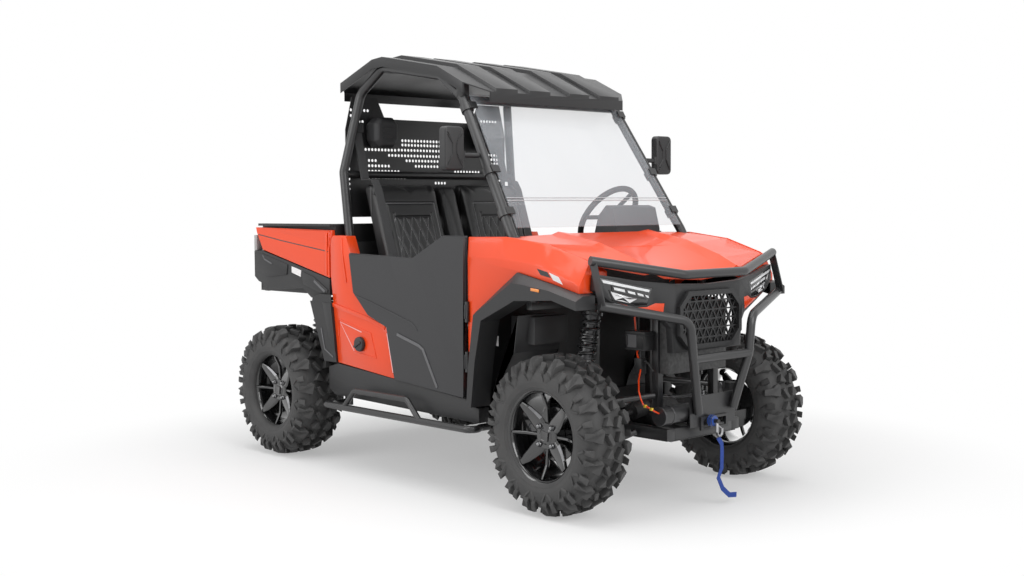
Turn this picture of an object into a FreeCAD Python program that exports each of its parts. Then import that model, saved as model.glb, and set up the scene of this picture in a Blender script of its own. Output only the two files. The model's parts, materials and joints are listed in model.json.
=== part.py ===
"""A two-seat side by side utility vehicle with a tipping cargo bed, modelled as an assembly.

The frame is the row frame in millimetres: +X forward, +Y to the vehicle's left, +Z up.
The origin is on the ground, at the middle of the vehicle's length and width.
Every side piece is modelled on the left and mirrored to the right.
"""

import FreeCAD, Part
import math
import os

from FreeCAD import Vector

os.makedirs("parts", exist_ok=True)

# Driving dimensions of the whole vehicle
wheelbase = 1950.0
track = 1172.0
tyre_diameter = 660.0
front_overhang = 401.0
overall_length = front_overhang + wheelbase + tyre_diameter / 2
cab_half_width = 640.0
door_stand_out = 20.0
belt_height = 1134.0
floor_height = 400.0
frame_bottom = 290.0
roof_peak_height = 1968.0

# Clearances and thicknesses shared by several pieces
seat_gap = 0.3
running_gap = 0.3
panel_gap = 6.0
moving_gap = 8.0
panel_wall = 5.0
sheet_wall = 3.0
overrun = 20.0

door_half_width = cab_half_width + door_stand_out
axle_height = tyre_diameter / 2
front_axle_x = overall_length / 2 - front_overhang
rear_axle_x = front_axle_x - wheelbase
wheel_y = track / 2


def at(x, y, z):
    """A point of the vehicle frame."""
    return Vector(x, y, z)


X_AXIS = at(1, 0, 0)
Y_AXIS = at(0, 1, 0)
Z_AXIS = at(0, 0, 1)


def block(x0, x1, y0, y1, z0, z1):
    """A rectangular block between two corners."""
    corner = at(min(x0, x1), min(y0, y1), min(z0, z1))
    return Part.makeBox(abs(x1 - x0), abs(y1 - y0), abs(z1 - z0), corner)


def spread(shares, x0, x1, z0, z1):
    """An outline given as shares of a box, placed in that box."""
    return [(x0 + (x1 - x0) * u, z0 + (z1 - z0) * v) for u, v in shares]


def face_of(points):
    """A flat face inside a closed run of points."""
    return Part.Face(Part.makePolygon(points + points[:1]))


def side_prism(outline, y0, y1):
    """A side view outline of (x, z) points, as thick as y0 to y1."""
    return face_of([at(x, y0, z) for x, z in outline]).extrude(at(0, y1 - y0, 0))


def plan_prism(outline, z0, z1):
    """A top view outline of (x, y) points, as tall as z0 to z1."""
    return face_of([at(x, y, z0) for x, y in outline]).extrude(at(0, 0, z1 - z0))


def front_prism(outline, x0, x1):
    """A front view outline of (y, z) points, as long as x0 to x1."""
    return face_of([at(x0, y, z) for y, z in outline]).extrude(at(x1 - x0, 0, 0))


def inset(outline, depth):
    """The same outline with every edge moved inwards by one depth."""
    count = len(outline)
    area = sum(outline[i][0] * outline[(i + 1) % count][1] - outline[(i + 1) % count][0] * outline[i][1]
               for i in range(count))
    side = 1 if area > 0 else -1
    moved = []
    for i in range(count):
        before, here, after = outline[i - 1], outline[i], outline[(i + 1) % count]
        ax, az = here[0] - before[0], here[1] - before[1]
        bx, bz = after[0] - here[0], after[1] - here[1]
        la, lb = math.hypot(ax, az), math.hypot(bx, bz)
        nax, naz = -az / la * side, ax / la * side
        nbx, nbz = -bz / lb * side, bx / lb * side
        spread_by = 1 + nax * nbx + naz * nbz
        moved.append((here[0] + depth * (nax + nbx) / spread_by, here[1] + depth * (naz + nbz) / spread_by))
    return moved


def ribbon(path, half):
    """An outline that follows a run of points at the same distance on both sides."""
    left, right = [], []
    for i, (u, v) in enumerate(path):
        before, after = path[max(i - 1, 0)], path[min(i + 1, len(path) - 1)]
        du, dv = after[0] - before[0], after[1] - before[1]
        length = math.hypot(du, dv)
        left.append((u - dv / length * half, v + du / length * half))
        right.append((u + dv / length * half, v - du / length * half))
    return left + list(reversed(right))


def rod(start, end, radius):
    """A straight round bar."""
    run = end - start
    return Part.makeCylinder(radius, run.Length, start, run)


def tube(points, radius, bend):
    """A bent round bar: straight runs joined by tangent arcs of one bend radius."""
    edges = []
    start = points[0]
    for before, here, after in zip(points, points[1:], points[2:]):
        into = (here - before).normalize()
        out = (after - here).normalize()
        half_turn = into.getAngle(out) / 2
        reach = bend * math.tan(half_turn)
        first = here - into * reach
        last = here + out * reach
        inward = (out - into).normalize()
        middle = here + inward * (bend / math.cos(half_turn) - bend)
        edges.append(Part.makeLine(start, first))
        edges.append(Part.Arc(first, middle, last).toShape())
        start = last
    edges.append(Part.makeLine(start, points[-1]))
    path = Part.Wire(edges)
    ring = Part.Wire([Part.makeCircle(radius, points[0], points[1] - points[0])])
    return path.makePipeShell([ring], True, False)


def weld(shapes):
    """Several solids joined into one."""
    return shapes[0].multiFuse(shapes[1:]).removeSplitter()


def mirror(shape):
    """The same piece on the other side of the vehicle."""
    return shape.mirror(at(0, 0, 0), Y_AXIS)


def both(shapes):
    """Pieces of the left side, and their twins on the right."""
    return shapes + [mirror(s) for s in shapes]


def turned(shape, angle, axis, centre):
    """A copy turned about an axis through a centre."""
    copy = shape.copy()
    copy.rotate(centre, axis, angle)
    return copy


def revolved(profile, centre):
    """A profile of (radius, y) points turned about the wheel axis through a centre."""
    flat = face_of([centre + at(r, y, 0) for r, y in profile])
    return flat.revolve(centre, Y_AXIS, 360)


def save(name, shapes):
    """One file for one named piece, which may be several solids."""
    solids = [solid for shape in shapes for solid in shape.Solids]
    for solid in solids:
        if not solid.isValid() or solid.Volume <= 0:
            print("check", name, solid.isValid(), solid.Volume)
    Part.makeCompound(solids).exportStep(f"parts/{name}.step")


# Wheels: tyre, rim, brake disc and the spindle that carries them
rim_radius = 178.0
rim_width = 190.0
rim_wall = 7.0
rim_lip = 14.0
hub_radius = 52.0
hub_length = 60.0
spoke_count = 4
spoke_thick = 22.0
blade_thick = 14.0
spoke_face_setback = 26.0
spindle_radius = 17.0
flange_radius = 34.0
tyre_width_front = 232.0
tyre_width_rear = 256.0
tread_depth = 20.0
tread_pitches = 15
tread_block_half = 23.0
crown_share = 0.66
tyre_wall_share = 0.91
bead_width_share = 0.80
disc_radius = 112.0
disc_thick = 6.0
disc_setback = 6.0
kingpin_setback = 112.0
kingpin_y = wheel_y - kingpin_setback
post_radius = 17.0
post_half_height = 86.0
caliper_reach_share = 0.62
caliper_top_share = 0.95
ball_pad = 15.0

# Outlines of a broad spoke and a narrow one: share of the reach, then half the width as a share of it
paddle_shares = [(0.0, 0.20), (0.34, 0.20), (0.78, 0.15), (1.0, 0.09)]
blade_shares = [(0.0, 0.06), (0.62, 0.045), (1.0, 0.03)]

# Outline of a centre tread block: shares of the block's half length, then of the half tread width
centre_block_shares = [(-1.0, -0.30), (1.0, -0.12), (1.0, 0.24), (-1.0, 0.06)]


def faceted_ring(profile, centre, sides, start_angle):
    """A closed profile of (radius, y) points carried round the wheel axis in flat facets."""
    step = 360.0 / sides
    rings = []
    for i in range(sides):
        angle = math.radians(start_angle + step * (i - 1 / 2))
        rings.append([centre + at(r * math.cos(angle), y, r * math.sin(angle)) for r, y in profile])
    faces = []
    for i in range(sides):
        here, following = rings[i], rings[(i + 1) % sides]
        for j in range(len(profile)):
            k = (j + 1) % len(profile)
            faces.append(face_of([here[j], here[k], following[k], following[j]]))
    shell = Part.makeShell(faces)
    shell.sewShape()
    solid = Part.makeSolid(Part.makeShell(shell.Faces))
    if solid.Volume < 0:
        solid.reverse()
    return solid


def tyre(width, centre):
    """A tyre in flat facets, one for each half pitch, with shoulder and centre blocks to the full diameter."""
    outer = tyre_diameter / 2
    sides = 2 * tread_pitches
    half_step = math.radians(180.0 / sides)
    block_top = math.sqrt(outer ** 2 - tread_block_half ** 2)
    crown = block_top - tread_depth
    corner = crown / math.cos(half_step)
    half = width / 2
    tread_half = half * crown_share
    wall_half = half * tyre_wall_share
    inner = (rim_radius + seat_gap) / math.cos(half_step)
    bead_half = rim_width / 2 * bead_width_share
    profile = [(inner, -bead_half), (corner - 2 * tread_depth, -wall_half), (corner, -tread_half),
               (corner, tread_half), (corner - 2 * tread_depth, wall_half), (inner, bead_half)]
    bottom_turn = math.degrees(math.asin(tread_block_half / outer)) - 90.0
    carcass = faceted_ring(profile, centre, sides, bottom_turn)
    base = crown - tread_depth
    drop = crown - 2 * tread_depth
    shoulder = [(half * crown_share, base), (half * crown_share, block_top), (tread_half + tread_depth / 2, block_top),
                (half, block_top - tread_depth), (half, drop), (wall_half - tread_depth, drop)]
    middle = [(tread_block_half * along, tread_half * across) for along, across in centre_block_shares]
    blocks = []
    for i in range(sides):
        side = 1 if i % 2 else -1
        pieces = [front_prism([(side * y, z) for y, z in shoulder], -tread_block_half, tread_block_half)]
        if side > 0:
            pieces.append(plan_prism(middle, base, block_top))
        for piece in pieces:
            piece.rotate(at(0, 0, 0), Y_AXIS, 90.0 - bottom_turn - 360.0 / sides * i)
            piece.translate(centre)
            blocks.append(piece)
    return carcass.multiFuse(blocks)


def spoke(shares, reach, thick, face, side, turn):
    """A flat tapered spoke from the hub to the barrel."""
    outline = [(reach * r, reach * half) for r, half in shares]
    outline += [(x, -half) for x, half in reversed(outline)]
    shape = side_prism(outline, face - side * thick, face)
    shape.rotate(at(0, 0, 0), Y_AXIS, turn)
    return shape


def rim(centre, side):
    """An alloy rim: barrel with two lips, a hub, and broad and narrow spokes near its outer face."""
    half = rim_width / 2
    outer = rim_radius
    barrel = revolved([(outer - rim_lip, -half), (outer + rim_lip, -half - rim_wall),
                       (outer + rim_lip, -half), (outer, -half * bead_width_share),
                       (outer, half * bead_width_share), (outer + rim_lip, half),
                       (outer + rim_lip, half + rim_wall), (outer - rim_lip, half),
                       (outer - rim_wall - rim_lip, half * bead_width_share),
                       (outer - rim_wall - rim_lip, -half * bead_width_share)], centre)
    face = side * (half - spoke_face_setback)
    back = face - side * hub_length
    hub = Part.makeCylinder(hub_radius, hub_length, centre + at(0, min(face, back), 0), Y_AXIS)
    reach = outer - rim_wall
    pitch = 360.0 / spoke_count
    spokes = []
    for i in range(spoke_count):
        spokes.append(spoke(paddle_shares, reach, spoke_thick, face, side, pitch * (i + 1 / 2)))
        spokes.append(spoke(blade_shares, reach, blade_thick, face, side, pitch * i))
    for shape in spokes:
        shape.translate(centre)
    wheel = barrel.multiFuse([hub] + spokes)
    bore = Part.makeCylinder(spindle_radius + running_gap, rim_width, centre - at(0, rim_width / 2, 0), Y_AXIS)
    return wheel.cut(bore).removeSplitter()


def disc(centre, side):
    """A brake disc that seats on the inner end of the hub."""
    face = side * (rim_width / 2 - spoke_face_setback - hub_length)
    start = centre + at(0, face - (disc_thick if side > 0 else 0), 0)
    plate = Part.makeCylinder(disc_radius, disc_thick, start, Y_AXIS)
    return plate.cut(Part.makeCylinder(spindle_radius + running_gap, disc_thick, start, Y_AXIS))


def knuckle(x, side):
    """The upright that carries a wheel: a round post, a spindle and a caliper."""
    y = side * kingpin_y
    post = rod(at(x, y, axle_height - post_half_height), at(x, y, axle_height + post_half_height), post_radius)
    tip = side * (wheel_y + rim_width / 2 - spoke_face_setback)
    hub_back = side * (wheel_y + rim_width / 2 - spoke_face_setback - hub_length - disc_thick - running_gap)
    spindle = rod(at(x, y, axle_height), at(x, tip, axle_height), spindle_radius)
    flange = rod(at(x, y, axle_height), at(x, hub_back, axle_height), flange_radius)
    caliper_reach = disc_radius * caliper_reach_share
    caliper_start = y + side * (post_radius + ball_pad / 2 + moving_gap)
    caliper = block(x - caliper_reach / 2, x + caliper_reach / 2, caliper_start, hub_back - side * running_gap,
                    axle_height + spindle_radius, axle_height + disc_radius * caliper_top_share)
    return [post, spindle, flange, caliper]


steer_arm_length = 95.0
steer_arm_height = 16.0
steer_arm_width = 26.0
rack_radius = 13.0
tie_rod_radius = 8.0
tie_eye_half = 11.0


def steered_knuckle(side):
    """A front upright, with the arm that the tie rod pulls."""
    y = side * kingpin_y
    arm = block(front_axle_x - steer_arm_length - steer_arm_width / 2, front_axle_x,
                y - steer_arm_width / 2, y + steer_arm_width / 2,
                axle_height + steer_arm_width, axle_height + steer_arm_width + steer_arm_height)
    return weld(knuckle(front_axle_x, side) + [arm])


def wheels():
    """Four wheels on their spindles."""
    sizes = {"front": (front_axle_x, tyre_width_front), "rear": (rear_axle_x, tyre_width_rear)}
    for end, (x, width) in sizes.items():
        left = at(x, wheel_y, axle_height)
        tyre_left = tyre(width, left)
        rim_left = weld([rim(left, 1), disc(left, 1)])
        save(f"tyre_{end}_left", [tyre_left])
        save(f"tyre_{end}_right", [mirror(tyre_left)])
        save(f"rim_{end}_left", [rim_left])
        save(f"rim_{end}_right", [mirror(rim_left)])
    left_knuckle = steered_knuckle(1)
    save("knuckle_front_left", [left_knuckle])
    save("knuckle_front_right", [mirror(left_knuckle)])
    save("rear_knuckles", both([weld(knuckle(rear_axle_x, 1))]))


# Chassis: rails, cross members, outriggers, front and rear towers and the hitch socket
rail_half_gap = 215.0
rail_size = 50.0
rail_front_reach = 290.0
rail_rear_reach = 215.0
cross_count = 5
tower_half_width = 200.0
tower_drop = 274.0
rear_tower_drop = 334.0
tower_tube = 32.0
tower_front_reach = 190.0
tower_rear_reach = 170.0
rear_tower_front_reach = 200.0
rear_tower_rear_reach = 134.0
skid_thick = 4.0
outrigger_setback = 80.0
outrigger_front_reach = 440.0
outrigger_rear_reach = 470.0
cowl_bar_setback = 62.0
step_tab_drop = 48.0
step_tab_thick = 15.0
rack_mount_length = 34.0
hitch_length = 100.0
hitch_half = 25.0
hitch_wall = 5.0
shock_mount_thick = 16.0
shock_mount_half = 30.0
shock_mount_reach = 365.0
shock_offset = -45.0

rail_front_x = front_axle_x + rail_front_reach
rail_rear_x = rear_axle_x - rail_rear_reach
rail_top = frame_bottom + rail_size
tower_top = belt_height - tower_drop
rear_tower_top = belt_height - rear_tower_drop
tower_front_x = front_axle_x + tower_front_reach
tower_rear_x = front_axle_x - tower_rear_reach
cowl_bar_x = tower_rear_x
rear_tower_front_x = rear_axle_x + rear_tower_front_reach
rear_tower_rear_x = rear_axle_x - rear_tower_rear_reach
arm_pivot_y = rail_half_gap + rail_size / 2
outrigger_half_width = cab_half_width - outrigger_setback
outrigger_x = (front_axle_x - outrigger_front_reach, rear_axle_x + outrigger_rear_reach)
cowl_bar_half = cab_half_width - cowl_bar_setback


def outrigger(x, side):
    """An arm out from a rail that carries the cab floor, with a tab for the step bar."""
    outer = side * outrigger_half_width
    arm = block(x - rail_size / 2, x + rail_size / 2, side * rail_half_gap, outer, rail_top + seat_gap,
                floor_height - seat_gap)
    tab = block(x - rail_size / 2, x + rail_size / 2, outer - side * step_tab_thick, outer,
                rail_top - step_tab_drop, rail_top + seat_gap)
    return weld([arm, tab])


def hitch():
    """A square socket for a tow bar, behind the last cross member."""
    middle = frame_bottom + rail_size / 2
    inner = hitch_half - hitch_wall
    rear_x = rail_rear_x - hitch_length
    bar = block(rear_x, rail_rear_x - seat_gap, -hitch_half, hitch_half, middle - hitch_half, middle + hitch_half)
    room = block(rear_x - overrun, rail_rear_x + overrun, -inner, inner, middle - inner, middle + inner)
    return bar.cut(room)


def frame_rails():
    """The two rails with their cross members, skid plate, steering rack seat and outriggers."""
    bars = []
    for side in (-1, 1):
        y = side * rail_half_gap
        bars.append(block(rail_rear_x, rail_front_x, y - rail_size / 2, y + rail_size / 2, frame_bottom, rail_top))
        bars += [outrigger(x, side) for x in outrigger_x]
    inner = rail_half_gap - rail_size / 2 - seat_gap
    for i in range(cross_count):
        x = rail_rear_x + (rail_front_x - rail_rear_x - rail_size) * i / (cross_count - 1)
        bars.append(block(x, x + rail_size, -inner, inner, frame_bottom, rail_top))
    rack_x = front_axle_x - steer_arm_length
    rack_seat = axle_height + steer_arm_width + steer_arm_height + tie_eye_half - rack_radius
    bars.append(block(rack_x - rack_mount_length / 2, rack_x + rack_mount_length / 2, -rail_half_gap, rail_half_gap,
                      rail_top + seat_gap, rack_seat))
    bars.append(block(rail_rear_x, rail_front_x, -rail_half_gap, rail_half_gap,
                      frame_bottom - seat_gap - skid_thick, frame_bottom - seat_gap))
    save("chassis_frame", bars + [hitch()])


def tower(front_x, rear_x, height, rear_reach, shock_x):
    """One tower: four posts, two side rails, two cross bars and the two shock mounts."""
    half = tower_tube / 2
    under = height - tower_tube
    bars = []
    for side in (-1, 1):
        inner, outer = side * (tower_half_width - tower_tube), side * tower_half_width
        for x in (front_x, rear_x):
            bars.append(block(x - half, x + half, inner, outer, rail_top + seat_gap, under - seat_gap))
        bars.append(block(rear_x + half + seat_gap, front_x - half - seat_gap, inner, outer, under, height))
        bars.append(block(shock_x - shock_mount_half, shock_x + shock_mount_half, outer + side * seat_gap,
                          side * shock_mount_reach, under, under + shock_mount_thick))
    bars.append(block(front_x - half, front_x + half, -tower_half_width, tower_half_width, under, height))
    bars.append(block(rear_x - half, rear_x + half, -rear_reach, rear_reach, under, height))
    return bars


def towers():
    """The front tower, whose rear bar also carries the cage, and the rear one with the bed's pivot tube."""
    front = tower(tower_front_x, tower_rear_x, tower_top, cowl_bar_half, front_axle_x + shock_offset)
    rear = tower(rear_tower_front_x, rear_tower_rear_x, rear_tower_top, tower_half_width, rear_axle_x + shock_offset)
    pivot_half = tower_half_width + running_gap + bed_ear_thick
    pivot = rod(at(bed_pivot_x, -pivot_half, bed_pivot_z), at(bed_pivot_x, pivot_half, bed_pivot_z),
                bed_pivot_radius)
    rear[-1] = weld([rear[-1], pivot])
    save("frame_towers", front + rear)


# Suspension arms, shocks, half shafts and steering linkage
arm_tube = 13.0
arm_spread = 130.0
lower_arm_drop = 10.0
upper_arm_spread = 200.0
upper_pivot_rise = 140.0
shock_foot_share = 0.3
shock_top_y = 325.0
shock_body_radius = 22.0
shock_rod_radius = 12.0
spring_span_shares = (0.10, 0.55)
spring_radius = 36.0
spring_wire = 6.0
spring_turns = 6
spring_seat = 7.0
shaft_radius = 12.0
boot_radius = 36.0
boot_length = 70.0
diff_half = 75.0
diff_radius = 65.0
shaft_rise = 58.0
outer_boot_share = 0.8


def arm(x, spread_x, inner_y, inner_z, outer_z, drop):
    """A two legged wishbone that ends in a ball joint pad under or over the knuckle post."""
    ball = at(x, kingpin_y, outer_z)
    legs = [rod(at(x + s * spread_x, inner_y, inner_z), ball - at(0, 0, drop), arm_tube) for s in (-1, 1)]
    pad = rod(ball - at(0, 0, ball_pad), ball + at(0, 0, ball_pad), post_radius + ball_pad / 2)
    return weld(legs + [pad])


def suspension():
    """Wishbones for both axles."""
    lower_z = axle_height - post_half_height - running_gap - ball_pad
    upper_z = axle_height + post_half_height + running_gap + ball_pad
    lower_inner_y = arm_pivot_y + arm_tube + seat_gap
    lower_inner_z = frame_bottom + rail_size / 2
    upper_inner_y = tower_half_width + arm_tube + seat_gap
    arms = []
    for x in (front_axle_x, rear_axle_x):
        arms.append(arm(x, arm_spread, lower_inner_y, lower_inner_z, lower_z, lower_arm_drop))
        arms.append(arm(x, upper_arm_spread, upper_inner_y, axle_height + upper_pivot_rise, upper_z, 0))
    save("suspension_arms", both(arms))


def shock(top, foot):
    """A coil over damper turned from one profile: body, spring seats, coils and rod."""
    run = foot - top
    length = run.Length
    first, last = [length * share for share in spring_span_shares]
    core = spring_radius - 2 * spring_wire
    profile = [(0, 0), (shock_body_radius, 0), (shock_body_radius, first - spring_seat),
               (spring_radius, first - spring_seat), (spring_radius, first + spring_seat),
               (core, first + spring_seat)]
    for i in range(spring_turns):
        middle = first + (last - first) * (i + 1) / (spring_turns + 1)
        profile += [(core, middle - spring_wire), (spring_radius, middle - spring_wire / 2),
                    (spring_radius, middle + spring_wire / 2), (core, middle + spring_wire)]
    profile += [(core, last - spring_seat), (spring_radius, last - spring_seat), (spring_radius, last + spring_seat),
                (shock_rod_radius, last + spring_seat), (shock_rod_radius, length), (0, length)]
    shape = face_of([at(r, 0, along) for r, along in profile]).revolve(at(0, 0, 0), Z_AXIS, 360)
    shape.Placement = FreeCAD.Placement(top, FreeCAD.Rotation(Z_AXIS, run))
    return shape


def shocks():
    """Four dampers, each from its mount on the tower down to the rear leg of its upper arm."""
    left = []
    inner_y = tower_half_width + arm_tube + seat_gap
    upper_z = axle_height + post_half_height + running_gap + ball_pad
    for x, height in ((front_axle_x, tower_top), (rear_axle_x, rear_tower_top)):
        ball = at(x, kingpin_y, upper_z)
        pivot = at(x - upper_arm_spread, inner_y, axle_height + upper_pivot_rise)
        foot = ball + (pivot - ball) * shock_foot_share
        damper = shock(at(x + shock_offset, shock_top_y, height - tower_tube), foot)
        ceiling = block(x - upper_arm_spread, x, 0, kingpin_y, height - tower_tube - seat_gap, height)
        left.append(damper.cut(rod(pivot, ball, arm_tube + seat_gap)).cut(ceiling))
    save("shocks", both([max(shape.Solids, key=lambda solid: solid.Volume) for shape in left]))


engine_gap = 40.0
engine_length = 700.0
engine_half_width = 160.0
engine_top = 600.0


def drivetrain():
    """The engine's mass, both differentials and the four half shafts."""
    save("engine", [block(rear_axle_x + diff_half + engine_gap, rear_axle_x + engine_length, -engine_half_width,
                          engine_half_width, rail_top + seat_gap, engine_top)])
    cases, shafts = [], []
    for x in (front_axle_x, rear_axle_x):
        case_z = frame_bottom + seat_gap + diff_radius
        ends = at(x - diff_half, 0, case_z), at(x + diff_half, 0, case_z)
        cases.append(rod(ends[0], ends[1], diff_radius))
        start = at(x, 0, axle_height + shaft_rise)
        end = at(x, kingpin_y - post_radius - moving_gap, axle_height)
        way = (end - start).normalize()
        inner = start + way * (diff_radius - overrun)
        boots = [rod(inner, inner + way * (overrun + boot_length), boot_radius),
                 rod(end - way * boot_length, end, boot_radius * outer_boot_share)]
        half = weld([rod(inner, end, shaft_radius)] + boots).cut(rod(ends[0], ends[1], diff_radius + seat_gap))
        shafts.append(max(half.Solids, key=lambda solid: solid.Volume))
    save("axle_drives", cases + both(shafts))


# Body stations: shares of the wheelbase ahead of the rear axle, and of the belt height above the ground
overhang_share = 0.20564
door_outline_shares = [(0.743, 0.384), (0.492, 0.413), (0.463, 0.623), (0.392, 0.663), (0.333, 0.754),
                       (0.317, 0.920), (0.569, 0.909), (0.673, 1.0), (0.748, 1.0)]
panel_rear_shares = [(0.297, 0.990), (0.244, 0.992), (0.233, 0.970), (0.233, 0.820), (0.242, 0.703), (0.259, 0.451)]
flare_rear_shares = [(0.2586, 0.451), (0.207, 0.451), (0.148, 0.706), (0.2413, 0.706)]
rocker_shares = [(0.219, 0.428), (0.259, 0.446), (0.743, 0.377), (0.762, 0.353), (0.784, 0.348), (0.784, 0.291),
                 (0.242, 0.310), (0.219, 0.338)]
arch_outer_shares = [(0.7635, 0.357), (0.766, 0.494), (0.783, 0.716), (0.914, 0.870), (1.021, 0.833), (1.106, 0.798)]
arch_inner_shares = [(0.787, 0.357), (0.800, 0.529), (0.821, 0.688), (0.926, 0.770), (1.037, 0.780), (1.106, 0.750)]
fender_front_shares = [(1.090, 0.816), (1.088, 0.891)]
fender_rear_shares = [(0.749, 0.414), (0.758, 0.414)]
bed_side_shares = [(-0.112, 1.023), (0.225, 1.014), (0.227, 0.810), (-0.076, 0.921)]
bed_skirt_shares = [(-0.118, 0.798), (-0.118, 0.917), (-0.077, 0.917), (0.227, 0.806), (0.227, 0.736),
                    (0.146, 0.719), (0.110, 0.758), (0.038, 0.750), (-0.034, 0.748), (-0.099, 0.776)]
hood_station_shares = (0.857, 0.978, 1.076, 1.139)
crease_width_shares = (0.99, 0.947, 0.925, 0.906, 0.89)
crease_height_shares = (0.996, 0.998, 0.974, 0.923, 0.869)
crease_station_shares = (0.751, 0.857, 0.978, 1.076, 1.139)

# Cab stations: shares of the wheelbase, and of the roof's rise above the belt
roof_top_shares = [(0.153, 0.841), (0.331, 0.992), (0.371, 1.0), (0.578, 0.910), (0.714, 0.757)]
cage_shares = [(0.913, -0.27), (0.846, 0.013), (0.652, 0.733), (0.575, 0.859), (0.352, 0.948), (0.261, 0.813),
               (0.235, 0.357), (0.256, -0.014), (0.256, -0.592)]
cage_width_shares = (0.870, 0.870, 0.768, 0.760, 0.750, 0.756, 0.870, 0.870, 0.870)
seat_back_shares = [(0.349, -0.466), (0.403, -0.466), (0.408, -0.400), (0.313, 0.259), (0.298, 0.309),
                    (0.259, 0.309), (0.253, 0.271)]
dash_shares = [(0.713, -0.305), (0.713, -0.089), (0.734, -0.011), (0.836, -0.041), (0.844, -0.089), (0.844, -0.305)]
pod_shares = [(0.749, -0.060), (0.770, 0.097), (0.795, 0.153), (0.816, 0.139), (0.830, 0.019), (0.830, -0.060)]


def station_x(along):
    """The x of a station, whose part past the front axle stretches with the overhang."""
    if along > 1:
        return front_axle_x + (along - 1) / overhang_share * front_overhang
    return rear_axle_x + along * wheelbase


def low_point(station):
    """An (x, z) point from shares of the wheelbase and the belt height."""
    along, up = station
    return (station_x(along), up * belt_height)


def high_point(station):
    """An (x, z) point from shares of the wheelbase and the rise from belt to roof."""
    along, up = station
    return (rear_axle_x + along * wheelbase, belt_height + up * (roof_peak_height - belt_height))


def low_points(shares):
    return [low_point(station) for station in shares]


def high_points(shares):
    return [high_point(station) for station in shares]


def shifted(outline, dx, dz):
    """An outline moved by a small clearance."""
    return [(x + dx, z + dz) for x, z in outline]


def ruled(sections):
    """A solid through several closed sections of points, with straight sides between them."""
    wires = [Part.makePolygon(points + points[:1]) for points in sections]
    return Part.makeLoft(wires, True, True)


def side_shell(outline, y0, y1, wall):
    """A side panel with a skin at its outer face and round its edges, open towards the vehicle's middle."""
    skin = side_prism(outline, y0, y1)
    return skin.cut(side_prism(inset(outline, wall), y0 - overrun, y1 - wall))


# Doors on vertical pins at their front edges
door_thick = 26.0
hinge_radius = 9.0
hinge_pin_radius = 4.0
hinge_length = 60.0
hinge_foot = 14.0
hinge_heights = (592.0, 808.0)
hinge_y = cab_half_width + seat_gap + hinge_radius
hinge_x = low_point(door_outline_shares[-1])[0] + hinge_radius + seat_gap


def doors():
    """Two half doors with hinge barrels, and the fixed knuckles and pins that carry them."""
    outline = low_points(door_outline_shares)
    left = side_shell(outline, door_half_width - door_thick, door_half_width, panel_wall)
    front_x = outline[-1][0]
    fixed = []
    for z in hinge_heights:
        low, high = z - hinge_length / 2, z + hinge_length / 2
        axis_low, axis_high = at(hinge_x, hinge_y, low), at(hinge_x, hinge_y, high)
        lug = block(front_x - door_thick, hinge_x, hinge_y - hinge_radius / 2, hinge_y + hinge_radius / 2, low, high)
        barrel = rod(axis_low, axis_high, hinge_radius)
        pin_hole = rod(axis_low, axis_high, hinge_pin_radius + running_gap)
        left = weld([left, lug, barrel]).cut(pin_hole)
        end = at(0, 0, hinge_foot)
        pin = rod(axis_low - end, axis_high + end, hinge_pin_radius)
        knuckles = []
        for start in (axis_high + at(0, 0, running_gap), axis_low - at(0, 0, running_gap + hinge_foot)):
            foot = block(hinge_x - hinge_radius / 2, hinge_x + hinge_radius / 2, cab_half_width + seat_gap, hinge_y,
                         start.z, start.z + hinge_foot)
            knuckles += [rod(start, start + end, hinge_radius), foot]
        fixed.append(weld([pin] + knuckles))
    save("door_left", [left])
    save("door_right", [mirror(left)])
    save("door_hinges", both(fixed))


# Floor, seat box, sills and step bars
sill_thick = 60.0
tub_front_share = 0.779
seat_box_front_share = 0.579
rear_wall_share = 0.2385
rear_wall_drop = 44.0
step_stand_out = 50.0
sill_y = cab_half_width - sill_thick
tub_half = sill_y - seat_gap
tub_rear_x = low_point(rocker_shares[0])[0]
tub_front_x = station_x(tub_front_share)
seat_box_top = 620.0
seat_box_front_x = station_x(seat_box_front_share)
firewall_top = high_point(dash_shares[0])[1] - seat_gap
rear_wall_x = station_x(rear_wall_share)
rear_wall_top = belt_height - rear_wall_drop
step_y = cab_half_width + step_stand_out
step_radius = 16.0
step_upper_radius = 13.0
step_height = 308.0
step_rise = 88.0
step_bend = 36.0
step_end = 60.0
step_upper_ends_share = (0.14, 0.69)


def cab_floor():
    """The floor pan, seat box, firewall and rear wall in one moulding, and the sills outside it."""
    pan = block(tub_rear_x, tub_front_x, -tub_half, tub_half, floor_height, floor_height + panel_wall)
    box = block(tub_rear_x, seat_box_front_x, -tub_half, tub_half, floor_height, seat_box_top)
    box_room = block(tub_rear_x - overrun, seat_box_front_x - panel_wall, panel_wall - tub_half,
                     tub_half - panel_wall, floor_height - overrun, seat_box_top - panel_wall)
    firewall = block(tub_front_x - panel_wall, tub_front_x, -tub_half, tub_half, floor_height, firewall_top)
    wall = block(rear_wall_x, rear_wall_x + panel_wall, -tub_half, tub_half, seat_box_top - panel_wall, rear_wall_top)
    save("cab_floor", [weld([pan, box]).cut(box_room).fuse(firewall).fuse(wall).removeSplitter()])
    save("sills", both([side_shell(low_points(rocker_shares), sill_y, cab_half_width, panel_wall)]))


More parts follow.
